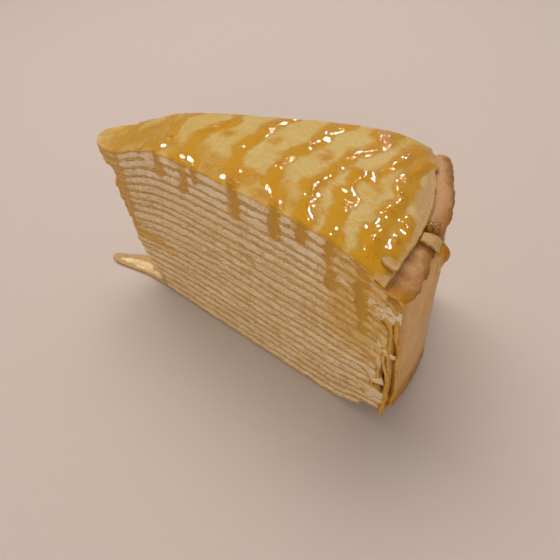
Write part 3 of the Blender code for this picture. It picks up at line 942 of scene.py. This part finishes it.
def cream_finish():
    """Set cream: pale and moist, with pores darkened by painted shade, whiter in the upper layers and tan
    where soaked.
    """
    material, tree, shader, where = finish_of("set_cream")
    crumb = effect(tree, fine_crumb, {"Vector": where, "Size": 0.0009, "Seed": 9.0})
    smears = effect(tree, griddle_marks, {"Vector": where, "Size": 0.009, "Seed": 4.0, "Cover": 0.45})
    tint = mixed(tree, ranged(tree, crumb["Grain"], 0.3, 0.7), shade(222, 188, 134), shade(242, 214, 168))
    along = stretched(tree, where, (1.0, 1.0, 4.0))
    streaks = effect(tree, griddle_marks, {"Vector": along, "Size": 0.009, "Seed": 18.0, "Cover": 0.55})
    middle = maths(tree, "ABSOLUTE", maths(tree, "SUBTRACT", mask(tree, "share"), 0.5))
    middle = maths(tree, "MULTIPLY", ranged(tree, middle, 0.05, 0.18, 1.0, 0.0), streaks["Brown"])
    gold = effect(tree, griddle_marks, {"Vector": along, "Size": 0.012, "Seed": 33.0, "Cover": 0.42})
    tint = mixed(tree, ranged(tree, gold["Height"], 0.34, 0.5, 0.0, 0.42), tint, shade(210, 162, 50))
    brown = effect(tree, griddle_marks, {"Vector": along, "Size": 0.016, "Seed": 52.0, "Cover": 0.4})
    tint = mixed(tree, ranged(tree, brown["Height"], 0.4, 0.54, 0.0, 0.25), tint, shade(166, 114, 46))
    flecks = effect(tree, griddle_marks, {"Vector": along, "Size": 0.005, "Seed": 41.0, "Cover": 0.36})
    tint = mixed(tree, ranged(tree, flecks["Height"], 0.36, 0.5, 0.0, 0.45), tint, shade(255, 240, 214))
    tint = mixed(tree, maths(tree, "MULTIPLY", middle, 0.8), tint, shade(166, 114, 34))
    up = place(tree, "ShaderNodeSeparateXYZ", {0: where}).outputs[2]
    tint = mixed(tree, ranged(tree, up, 0.052, 0.068, 0.0, 0.6), tint, shade(246, 220, 190))
    tint = mixed(tree, maths(tree, "MULTIPLY", smears["Brown"], 0.4), tint, shade(214, 170, 100))
    # Painted shade in the pores: they are darkened as well as sunk by the bump.
    tint = mixed(tree, maths(tree, "MULTIPLY", crumb["Pores"], 0.6), tint, shade(160, 112, 58))
    tint = mixed(tree, maths(tree, "MULTIPLY", mask(tree, "soaked"), 0.85), tint, shade(212, 154, 20))
    tree.links.new(tint, shader.inputs["Base Color"])
    tree.links.new(ranged(tree, crumb["Grain"], 0.3, 0.7, 0.3, 0.5), shader.inputs["Roughness"])
    shader.inputs["Specular IOR Level"].default_value = 0.35
    shader.inputs["Subsurface Weight"].default_value = 0.2
    shader.inputs["Subsurface Radius"].default_value = (1.0, 0.85, 0.6)
    shader.inputs["Subsurface Scale"].default_value = 0.002
    roughened(tree, shader, crumb["Height"], 0.0006, 0.8)
    return material


set_cream = cream_finish()
RAGGED_CREAM = {"Depth": 0.0012, "Swell Size": 0.0032, "Pit Depth": 0.0006, "Pit Size": 0.0017,
                "Grain Depth": 0.0009, "Lift": 0.2, "Seed": 7.0, "Skin": set_cream, "Cut": set_cream}


def bend_drop(level, forward, inward):
    """How far a hanging crepe's bend has dropped away under the cream on it here."""
    if level not in HANGING:
        return 0.0
    beyond = np.clip(np.hypot(forward, inward) - (hanging_radius(level) - RIM_BEND), 0.0, 0.97 * RIM_BEND)
    return RIM_BEND - np.sqrt(RIM_BEND**2 - beyond**2)


for level in range(1, CREPES):
    covered = level if level < CREPES - 1 else None
    cream = flat_layer(
        f"cream_layer_{level:02d}",
        max(nose_of(level), nose_of(level + 1)) + CREAM_RECESS,
        min(flat_radius(level), flat_radius(level + 1)) - RIM_CLEARANCE, 2.0,
        lambda forward, inward: level_height(level, forward, inward) + CREPE_THICKNESS
        - bend_drop(level, forward, inward),
        lambda forward, inward: level_height(level + 1, forward, inward),
        CREAM_RECESS, 6, 0.0003, covered,
    )
    layer = link(f"cream_layer_{level:02d}", cream)
    kept(dress(layer, cut_relief, RAGGED_CREAM), "cream", f"cream_{level:02d}")


# --- The top crepe ----------------------------------------------------------------------------
# The crepe on top lies butter side up, so its whole face shows: yellow, evenly fried, with paler
# and browner clouds, gentle waves over the cream, and a thin edge that hangs over a little.

TOP_ROWS = 230
TOP_COLUMNS = 150


def top_crepe_finish():
    """Butter-fried egg batter: pale yellow with golden clouds, a soft sheen and fine pores."""
    material, tree, shader, where = finish_of("top_crepe_skin")
    clouds = effect(tree, griddle_marks, {"Vector": where, "Size": 0.020, "Seed": 6.0, "Cover": 0.42})
    marks = effect(tree, griddle_marks, {"Vector": where, "Size": 0.007, "Seed": 7.0, "Cover": 0.35})
    pale = effect(tree, griddle_marks, {"Vector": where, "Size": 0.012, "Seed": 24.0, "Cover": 0.45})
    crumb = effect(tree, fine_crumb, {"Vector": where, "Size": 0.0010, "Seed": 12.0})
    tint = mixed(tree, ranged(tree, crumb["Grain"], 0.3, 0.7), shade(186, 154, 80), shade(200, 172, 108))
    tint = mixed(tree, maths(tree, "MULTIPLY", pale["Brown"], 0.65), tint, shade(206, 182, 134))
    tint = mixed(tree, maths(tree, "MULTIPLY", clouds["Brown"], 0.6), tint, shade(188, 140, 26))
    tint = mixed(tree, maths(tree, "MULTIPLY", marks["Brown"], 0.4), tint, shade(186, 134, 16))
    tint = mixed(tree, mask(tree, "rim"), tint, shade(182, 148, 102))
    golden = mixed(tree, ranged(tree, marks["Height"], 0.3, 0.6), shade(194, 142, 24), shade(172, 118, 0))
    tint = mixed(tree, maths(tree, "MULTIPLY", mask(tree, "soaked"), 0.95), tint, golden)
    tree.links.new(tint, shader.inputs["Base Color"])
    tree.links.new(ranged(tree, crumb["Grain"], 0.3, 0.7, 0.36, 0.5), shader.inputs["Roughness"])
    shader.inputs["Specular IOR Level"].default_value = 0.1
    shader.inputs["Subsurface Weight"].default_value = 0.15
    shader.inputs["Subsurface Radius"].default_value = (1.0, 0.8, 0.5)
    shader.inputs["Subsurface Scale"].default_value = 0.0012
    height = maths(tree, "ADD", marks["Height"], maths(tree, "MULTIPLY", crumb["Height"], 0.4))
    roughened(tree, shader, height, 0.0006, 0.7)
    return material


top_crepe_skin = top_crepe_finish()
across = np.linspace(0.0, 1.0, TOP_COLUMNS)[None, :]
along = np.concatenate((np.linspace(0.0, 1.0, TOP_ROWS)[:-1], np.linspace(1.0, 2.0, 32)))[:, None]
forward, inward = in_plan(across + 0.0 * along, along + 0.0 * across, nose_of(CREPES), TOP_RADIUS)
top_under = to_object(forward, inward, level_height(CREPES, forward, inward))
top_over = to_object(forward, inward, top_height(forward, inward))
top = closed_mesh("crepe_top", top_under, top_over, 3, 0.0003, spine=False)
# The sauce has soaked in here and there, and the rim is pale and hardly fried.
from_centre = np.hypot(forward, inward)
pale_rim = smooth((from_centre + 0.0022 * wander(forward, inward, 0.008, 53) - 0.1075) / 0.0025)
soaked = np.full(len(top.vertices), 0.7)
soaked[:forward.size] = 0.95 * golden_at(forward, inward).ravel()
rim = np.zeros(len(top.vertices))
rim[:forward.size] = pale_rim.ravel()
painted(top, "soaked", soaked)
painted(top, "rim", rim)
layer = link("crepe_top", top)
RAGGED_TOP = dict(RAGGED_CREPE, Skin=top_crepe_skin, Cut=crepe_cut)
kept(dress(layer, cut_relief, RAGGED_TOP), "top_crepe", "crepe_21")


# --- The caramel sauce ------------------------------------------------------------------------
# Sugar browned with butter and cream is drizzled across the top in thick lines. It beads along
# each line, gathers in pools near the front cut, and runs over the edge down the layers.

SAUCE_GRID = 0.0004
SAUCE_ROOT = 0.0006
SAUCE_EDGE = 0.0003
EDGE_TURN = 0.0018
CUT_STAND = 0.00015


def pulled_back(depth, room):
    """Keeps the sauce from an edge: it thins out over the last millimetre of room."""
    return np.minimum(depth, 0.45 * room)


def sauce_body(name, base, outward, depth):
    """A closed mesh of sauce on a grid of places, kept only where it has some depth."""
    rows, columns = depth.shape
    wet = depth > -SAUCE_EDGE
    cell = wet[:-1, :-1] | wet[1:, :-1] | wet[1:, 1:] | wet[:-1, 1:]
    number = np.arange(rows * columns).reshape(rows, columns)
    corners = np.stack((number[:-1, :-1], number[1:, :-1], number[1:, 1:], number[:-1, 1:]), axis=-1)
    around = np.pad(cell, 1)
    faces = [corners[cell], corners[cell][:, ::-1] + rows * columns]
    sides = (((0, -1), (0, 1)), ((1, 0), (1, 2)), ((0, 1), (2, 3)), ((-1, 0), (3, 0)))
    for (down, over), (first, second) in sides:
        beyond = around[1 + down: rows + down, 1 + over: columns + over]
        edge = corners[cell & ~beyond]
        one, two = edge[:, first], edge[:, second]
        faces.append(np.stack((two, one, one + rows * columns, two + rows * columns), axis=-1))
    faces = np.concatenate(faces)
    outer = base + outward * np.maximum(depth, -SAUCE_EDGE)[..., None]
    inner = base - outward * SAUCE_ROOT
    points = np.concatenate((outer.reshape(-1, 3), inner.reshape(-1, 3)))
    deep = np.concatenate((depth.ravel(), depth.ravel()))
    used, renumbered = np.unique(faces, return_inverse=True)
    data = bpy.data.meshes.new(name)
    data.from_pydata(points[used].tolist(), [], renumbered.reshape(-1, 4).tolist())
    painted(data, "depth", np.clip(deep[used] / 0.001, 0.0, 1.5))
    return data


def caramel_finish():
    """Glossy caramel: pale gold where it is a film and deep amber where it is thick."""
    material, tree, shader, where = finish_of("caramel_sauce")
    deep = mask(tree, "depth")
    cloud = effect(tree, griddle_marks, {"Vector": where, "Size": 0.004, "Seed": 15.0, "Cover": 0.5})
    cloudy = maths(tree, "SUBTRACT", cloud["Brown"], 0.5)
    deep = maths(tree, "ADD", deep, maths(tree, "MULTIPLY", cloudy, 0.14))
    tint = mixed(tree, ranged(tree, deep, 0.0, 0.4), shade(192, 140, 30), shade(192, 136, 6))
    tint = mixed(tree, ranged(tree, deep, 0.45, 1.1), tint, shade(176, 106, 0))
    tree.links.new(tint, shader.inputs["Base Color"])
    speck = effect(tree, fine_crumb, {"Vector": where, "Size": 0.0007, "Seed": 16.0})
    tree.links.new(ranged(tree, speck["Grain"], 0.3, 0.7, 0.02, 0.05), shader.inputs["Roughness"])
    shader.inputs["Coat Weight"].default_value = 0.12
    shader.inputs["Coat Roughness"].default_value = 0.02
    shader.inputs["IOR"].default_value = 1.48
    height = maths(tree, "ADD", maths(tree, "MULTIPLY", speck["Height"], 0.6), cloud["Height"])
    roughened(tree, shader, height, 0.0004, 0.06)
    return material


caramel_sauce = caramel_finish()


def smooth_faces(data):
    data.polygons.foreach_set("use_smooth", np.ones(len(data.polygons), dtype=bool))


def front_sauce():
    """The sauce on the top and down the front cut, on one sheet of places folded over the edge."""
    forward = np.arange(0.0025, 0.1135, SAUCE_GRID)[:, None]
    path = np.arange(-0.041, 0.058, SAUCE_GRID)[None, :]
    forward, path = forward + 0.0 * path, path + 0.0 * forward
    inward = np.maximum(path, 0.0)
    height = top_height(forward, inward) + np.minimum(path, 0.0)
    turn = math.pi / 2 * smooth(0.5 - path / EDGE_TURN)
    stand = CUT_STAND * smooth(-path / 0.001)
    base = to_object(forward, inward - stand, height)
    outward = turned(0.0 * forward, -np.sin(turn), np.cos(turn))
    depth = sauce_depth(forward, path)
    depth = pulled_back(depth, (rear_cut(forward) - inward) * math.cos(REAR_CUT_ANGLE) - 0.0006)
    depth = pulled_back(depth, TOP_RADIUS - 0.0006 - np.hypot(forward, inward))
    return sauce_body("sauce_front", base, outward, depth)


data = front_sauce()
smooth_faces(data)
data.materials.append(caramel_sauce)
kept(link("sauce_drizzle", data), "top_crepe")


# --- The bubbles in the sauce -------------------------------------------------------------------
# Stirring left tiny bubbles in the caramel, and they stand half out of its thickest beads.

def bubbles_tree():
    """Small round bubbles scattered where the sauce is deep."""
    tree = bpy.data.node_groups.new("sauce_bubbles", "GeometryNodeTree")
    for name, kind in (("Geometry", "Geometry"), ("Density", "Float"), ("Least Depth", "Float"),
                       ("Smallest", "Float"), ("Largest", "Float"), ("Seed", "Int"), ("Finish", "Material")):
        tree.interface.new_socket(name, in_out="INPUT", socket_type=f"NodeSocket{kind}")
    tree.interface.new_socket("Geometry", in_out="OUTPUT", socket_type="NodeSocketGeometry")
    given = place(tree, "NodeGroupInput").outputs
    depth = place(tree, "GeometryNodeInputNamedAttribute", {"Name": "depth"}, data_type="FLOAT").outputs[0]
    deep = maths(tree, "GREATER_THAN", depth, given["Least Depth"])
    scatter = {"Mesh": given["Geometry"], "Selection": deep}
    scatter.update({"Density": given["Density"], "Seed": given["Seed"]})
    spots = place(tree, "GeometryNodeDistributePointsOnFaces", scatter, distribute_method="RANDOM")
    spots = spots.outputs["Points"]
    sphere = {"Segments": 8, "Rings": 5, "Radius": 1.0}
    bubble = place(tree, "GeometryNodeMeshUVSphere", sphere).outputs["Mesh"]
    size = {"Min": given["Smallest"], "Max": given["Largest"], "Seed": given["Seed"]}
    size = place(tree, "FunctionNodeRandomValue", size, data_type="FLOAT").outputs["Value"]
    stood = {"Points": spots, "Instance": bubble, "Scale": size}
    stood = place(tree, "GeometryNodeInstanceOnPoints", stood).outputs[0]
    real = place(tree, "GeometryNodeRealizeInstances", {"Geometry": stood}).outputs[0]
    rounded = place(tree, "GeometryNodeSetShadeSmooth", {"Geometry": real}).outputs[0]
    finished = {"Geometry": rounded, "Material": given["Finish"]}
    done = place(tree, "GeometryNodeSetMaterial", finished).outputs[0]
    place(tree, "NodeGroupOutput", {"Geometry": done})
    return tree


def bubble_finish():
    """A thin shiny skin of caramel round air, so paler than the sauce."""
    material, tree, shader, where = finish_of("caramel_bubble")
    speck = effect(tree, fine_crumb, {"Vector": where, "Size": 0.0006, "Seed": 33.0})
    tint = mixed(tree, ranged(tree, speck["Grain"], 0.3, 0.7), shade(176, 118, 6), shade(206, 160, 50))
    tree.links.new(tint, shader.inputs["Base Color"])
    tree.links.new(ranged(tree, speck["Grain"], 0.3, 0.7, 0.02, 0.06), shader.inputs["Roughness"])
    shader.inputs["Coat Weight"].default_value = 0.5
    shader.inputs["Coat Roughness"].default_value = 0.02
    roughened(tree, shader, speck["Height"], 0.0001, 0.3)
    return material


bubbles = link("sauce_bubbles", data.copy())
BUBBLES = {"Density": 1.1e6, "Least Depth": 0.42, "Smallest": 0.00010, "Largest": 0.00026, "Seed": 5,
           "Finish": bubble_finish()}
kept(dress(bubbles, bubbles_tree(), BUBBLES), "top_crepe")


# --- Sauce on the outer side --------------------------------------------------------------------
# One run of sauce went over the rim: it hangs under the flap as a thick shiny drop, and at the
# rim a lump of sugar burnt dark and grainy.

SIDE_GRID = 0.00035
# Each drop: its angle from the front cut in degrees, its height, half its width and height, and
# its depth, in millimetres.
SIDE_DROPS = ((14.4, 55.5, 2.6, 5.0, 2.2), (12.4, 60.5, 2.4, 2.6, 1.2), (16, 50, 1.5, 4.5, 1.1),
              (16.6, 43, 0.9, 6, 0.3))
LUMP_ANGLE = math.radians(13.5)
LUMP_RADIUS = 0.1150
LUMP_SIZE = (0.0024, 0.0021, 0.0015)


def flap_height(forward, inward):
    """The height of the outer face of the short flap where it bends over the shoulder."""
    radius, angle = np.hypot(forward, inward), np.arctan2(inward, forward)
    rim = hanging_radius(20) - RIM_BEND
    top = level_height(20, rim * np.cos(angle), rim * np.sin(angle)) + CREPE_THICKNESS
    return top - RIM_BEND + np.sqrt(RIM_BEND**2 - np.clip(radius - rim, 0.0, 0.97 * RIM_BEND) ** 2)


def side_radius(level, height, angle):
    """How far out a hanging crepe's outer face stands at this height and angle."""
    rim = hanging_radius(level) - RIM_BEND
    top = level_height(level, rim * np.cos(angle), rim * np.sin(angle)) + CREPE_THICKNESS
    above = np.clip(RIM_BEND - (top - height), 0.0, RIM_BEND)
    return rim + np.sqrt(RIM_BEND**2 - above**2) + fold(angle / rear_angle(hanging_radius(level)), height)


def side_sauce():
    angle = np.arange(math.radians(9.5), math.radians(20.0), SIDE_GRID / OUTER_RADIUS)[:, None]
    height = np.arange(0.0640, 0.0340, -SIDE_GRID)[None, :]
    angle, height = angle + 0.0 * height, height + 0.0 * angle
    radius = side_radius(19, height, angle)
    base = to_object(radius * np.cos(angle), radius * np.sin(angle), height)
    outward = turned(np.cos(angle), np.sin(angle), 0.0 * angle)
    arc = OUTER_RADIUS * angle
    shifted = arc + 0.0005 * wander(arc, height, 0.0030, 81)
    depth = np.full(arc.shape, -3.0)
    for middle_angle, up, wide, tall, deep in SIDE_DROPS:
        beside = (shifted * 1000.0 - 1000.0 * OUTER_RADIUS * math.radians(middle_angle)) / wide
        share = np.hypot(beside, (height * 1000.0 - up) / tall)
        depth = np.maximum(depth, rounded_depth(share, wide, deep))
    depth = depth + 0.06 * wander(arc, height, 0.0014, 82) * smooth(depth / 0.3)
    return sauce_body("sauce_side", base, outward, depth / 1000.0)


def burnt_finish():
    """Burnt sugar: dark and glassy, with paler ridges on its grains and painted shade in its pores."""
    material, tree, shader, where = finish_of("burnt_sugar")
    grains = effect(tree, fine_crumb, {"Vector": where, "Size": 0.0006, "Seed": 35.0})
    tint = mixed(tree, ranged(tree, grains["Grain"], 0.35, 0.65), shade(112, 62, 4), shade(168, 108, 26))
    # Painted shade in the pores between the grains.
    tint = mixed(tree, grains["Pores"], tint, shade(80, 38, 4))
    tree.links.new(tint, shader.inputs["Base Color"])
    tree.links.new(ranged(tree, grains["Grain"], 0.3, 0.7, 0.08, 0.3), shader.inputs["Roughness"])
    roughened(tree, shader, grains["Height"], 0.0004, 0.8)
    return material


def burnt_lump():
    """A lump of grains: a ball pushed in and out by cells the size of sugar crystals."""
    mesh = bmesh.new()
    bmesh.ops.create_icosphere(mesh, subdivisions=5, radius=1.0)
    forward, inward = LUMP_RADIUS * math.cos(LUMP_ANGLE), LUMP_RADIUS * math.sin(LUMP_ANGLE)
    middle = Vector(to_object(forward, inward, flap_height(forward, inward) + 0.0005))
    for vertex in mesh.verts:
        spot = vertex.co.copy()
        grain = noise.voronoi(spot * 3.2)[0][0]
        swell = noise.noise(spot * 1.3)
        size = 1.0 + 0.30 * swell - 0.42 * grain
        vertex.co = middle + Vector([spot[axis] * size * LUMP_SIZE[axis] * 1.15 for axis in range(3)])
    data = bpy.data.meshes.new("burnt_lump")
    mesh.to_mesh(data)
    mesh.free()
    smooth_faces(data)
    data.materials.append(burnt_finish())
    return data


data = side_sauce()
smooth_faces(data)
data.materials.append(caramel_sauce)
kept(link("sauce_side_drop", data), "crepe")
kept(link("burnt_lump", burnt_lump()), "crepe")


# --- Torn flakes --------------------------------------------------------------------------------
# Two bits of crepe tore loose as the slice was lifted out: one curls up from the flap beside the
# burnt lump and one from the top crepe's front corner.

FLAKE_THICKNESS = 0.0008
# Each flake: its angle in degrees, its nearest and furthest distance from the cake's centre, half
# its width, and how far its end and its sides curl up, in millimetres.
FLAKES = {
    "flake_by_lump": (10.7, 113.2, 118.4, 1.9, 0.9, 0.5),
    "flake_on_corner": (2.6, 108.8, 113.0, 1.3, 0.7, 0.5),
}


def flake(name, degrees, near, far, half_width, end_curl, side_curl):
    sideways = np.linspace(-1.0, 1.0, 15)[None, :]
    outwards = np.linspace(0.0, 1.0, 25)[:, None]
    ragged = 1.0 + 0.14 * wander(0.02 * outwards, sideways * 0.003, 0.004, len(name))
    radius = (near + (far - near) * outwards * ragged) / 1000.0
    width = half_width / 1000.0 * (0.75 + 0.35 * np.sin(2.6 * outwards)) * ragged
    angle = math.radians(degrees) + width * sideways / radius
    forward, inward = radius * np.cos(angle), radius * np.sin(angle)
    under = np.where(radius < TOP_RADIUS, top_height(forward, inward), flap_height(forward, inward))
    if far / 1000.0 < OUTER_RADIUS - RIM_BEND + 0.001:
        under = top_height(forward, inward)
    lift = (end_curl * outwards**2 + side_curl * sideways**2 + 0.25) / 1000.0
    low = to_object(forward, inward, under + lift)
    high = to_object(forward, inward, under + lift + FLAKE_THICKNESS)
    data = closed_mesh(name, low, high, 3, 0.0001, spine=False)
    painted(data, "soaked", np.zeros(len(data.vertices)))
    painted(data, "rim", np.zeros(len(data.vertices)))
    return data


RAGGED_FLAKE = {"Depth": 0.0003, "Swell Size": 0.003, "Pit Depth": 0.0001, "Pit Size": 0.0014,
                "Grain Depth": 0.0002, "Lift": 0.3, "Seed": 4.0, "Skin": pale_skin, "Cut": pale_skin}
for name, sizes in FLAKES.items():
    layer = link(name, flake(name, *sizes))
    kept(dress(layer, cut_relief, RAGGED_FLAKE), "crepe")


# --- Smears of cream ----------------------------------------------------------------------------
# The knife dragged some cream over the cut: dabs between the crepes at the front corner, thin
# streaks under the top crepe, and a thicker one on the lowest crepe's tongue.

SMEAR_GRID = 0.00035
# Each smear on the front cut: how far forward, its height, half its length and half its height,
# and its depth, in millimetres.
SMEARS = (
    (113.2, 57.6, 2.2, 1.0, 0.32), (110.4, 56.4, 1.6, 1.1, 0.28), (116.0, 57.2, 1.8, 1.3, 0.36),
    (112, 55.0, 1.5, 0.8, 0.26),
    (114.8, 55.2, 1.6, 0.9, 0.30), (108.2, 57.4, 1.3, 0.8, 0.22), (109.6, 58.8, 1.4, 0.6, 0.24),
    (106, 55.6, 1.4, 0.6, 0.2),
    (115.2, 41.4, 1.5, 1.5, 0.42), (113.2, 42.2, 1.2, 0.8, 0.26), (116.4, 40.2, 1.0, 1.0, 0.36),
    (112.0, 38.4, 1.3, 0.6, 0.22),
    (10, 62.4, 3.0, 0.7, 0.2), (26, 69.0, 4.0, 0.7, 0.22), (36, 66.6, 3.5, 0.8, 0.22),
    (52, 68.2, 5.5, 0.7, 0.24),
    (56, 64.8, 4.0, 0.9, 0.22), (70, 66.2, 4.5, 0.8, 0.24), (84, 61.6, 4.5, 0.8, 0.24),
    (101, 60.4, 3.0, 0.8, 0.26),
)
# Each smear on the tongue: how far forward and inward, half its length and width, and its depth.
TONGUE_SMEARS = ((-6, 3.4, 6.5, 2.0, 0.9), (-1.5, 2.2, 4.0, 1.8, 1.2), (-12, 3.0, 3.0, 1.2, 0.4),
                 (4, 1.6, 4.0, 1.4, 0.9))


def smeared_depth(x, y, smears):
    """The depth of several smears at places given in metres."""
    shift = 0.6 * wander(x, y, 0.0030, 91) + 0.45 * wander(x, y, 0.0011, 92)
    depth = np.full(x.shape, -3.0)
    for middle_x, middle_y, long, tall, deep in smears:
        share = np.hypot((1000.0 * x - middle_x + 2.0 * shift) / long, (1000.0 * y - middle_y + shift) / tall)
        depth = np.maximum(depth, rounded_depth(share, tall, deep))
    return (depth + 0.08 * wander(x, y, 0.0009, 93) * smooth(depth / 0.2)) / 1000.0


def cut_smears():
    forward = np.arange(0.004, 0.1188, SMEAR_GRID)[:, None]
    height = np.arange(0.006, 0.0745, SMEAR_GRID)[None, :]
    forward, height = forward + 0.0 * height, height + 0.0 * forward
    depth = smeared_depth(forward, height, SMEARS)
    outward = turned(0.0 * forward, -1.0 + 0.0 * forward, 0.0 * forward)
    return sauce_body("cream_on_cut", to_object(forward, 0.0 * forward, height), outward, depth)


def tongue_smears():
    forward = np.arange(-0.0175, 0.010, SMEAR_GRID)[:, None]
    inward = np.arange(0.0006, 0.0085, SMEAR_GRID)[None, :]
    forward, inward = forward + 0.0 * inward, inward + 0.0 * forward
    depth = smeared_depth(forward, inward, TONGUE_SMEARS)
    shifted = inward - TONGUE_TURN * smooth((0.004 - forward) / 0.022)
    height = level_height(1, forward, inward) + CREPE_THICKNESS
    outward = turned(0.0 * forward, 0.0 * forward, 1.0 + 0.0 * forward)
    return sauce_body("cream_on_tongue", to_object(forward, shifted, height), outward, depth)


for name, data in (("cream_smears", cut_smears()), ("cream_tongue_smear", tongue_smears())):
    smooth_faces(data)
    data.materials.append(set_cream)
    kept(link(name, data), "cream")


# --- The floor, the light and the camera ------------------------------------------------------
# The slice stands on a plain pale floor under a large soft light, with a few smaller lamps whose
# reflections sparkle in the sauce.

FLOOR_COLOUR = shade(196, 182, 176)


def floor_finish():
    """A plain matt paper sheet with the faintest grain."""
    material, tree, shader, where = finish_of("pale_floor")
    grain = effect(tree, fine_crumb, {"Vector": where, "Size": 0.004, "Seed": 20.0})
    tint = mixed(tree, grain["Grain"], FLOOR_COLOUR, shade(198, 184, 178))
    tree.links.new(tint, shader.inputs["Base Color"])
    shader.inputs["Roughness"].default_value = 0.9
    return material


floor = bpy.data.meshes.new("floor")
corners = [(-3.0, -3.0, -0.0002), (3.0, -3.0, -0.0002), (3.0, 3.0, -0.0002), (-3.0, 3.0, -0.0002)]
floor.from_pydata(corners, [], [(0, 1, 2, 3)])
floor.materials.append(floor_finish())
link("floor", floor)

low, high = (np.array(corner) for corner in solid_box)
middle = (low + high) / 2


def lamp(name, kind, place_at, aim, power, tint, **settings):
    data = bpy.data.lights.new(name, kind)
    data.energy = power
    data.color = tint
    for key, value in settings.items():
        setattr(data, key, value)
    obj = link(name, data)
    obj.location = place_at
    direction = Vector(aim) - Vector(place_at)
    obj.rotation_euler = direction.to_track_quat("-Z", "Y").to_euler()
    return obj


WARM = (1.0, 0.94, 0.85)
OVERHEAD = dict(shape="RECTANGLE", size=0.7, size_y=0.5)
FRONT = dict(shape="RECTANGLE", size=0.6, size_y=0.6)
soft = (
    lamp("soft_overhead", "AREA", (-0.20, 0.30, 0.75), middle, 5.2, WARM, **OVERHEAD),
    lamp("soft_front", "AREA", (0.35, -0.75, 0.55), middle, 3.6, WARM, **FRONT),
)
for light in soft:
    light.visible_glossy = False
sparkles = ((-0.30, 0.22, 0.42), (0.12, 0.42, 0.50), (-0.05, 0.55, 0.38), (0.02, 0.20, 0.60),
            (-0.40, 0.10, 0.50), (0.26, 0.36, 0.42), (0.10, 0.62, 0.42))
for number, spot in enumerate(sparkles):
    light = lamp(f"sparkle_{number}", "AREA", spot, middle, 0.6, WARM, shape="DISK", size=0.026)
    light.visible_diffuse = False

world = bpy.data.worlds.new("room")
world.use_nodes = True
world.node_tree.nodes["Background"].inputs["Color"].default_value = (1.0, 0.93, 0.84, 1.0)
world.node_tree.nodes["Background"].inputs["Strength"].default_value = 0.28
bpy.context.scene.world = world

lens = bpy.data.cameras.new("camera")
lens.lens = 34.6
lens.sensor_width = 36.0
lens.clip_start = 0.01
camera = link("camera", lens)
camera.location = (0.07447, -0.12030, 0.1675)
camera.rotation_euler = [math.radians(angle) for angle in (42.394, 3.308, 23.182)]
bpy.context.scene.camera = camera
bpy.context.scene.view_settings.view_transform = "Standard"
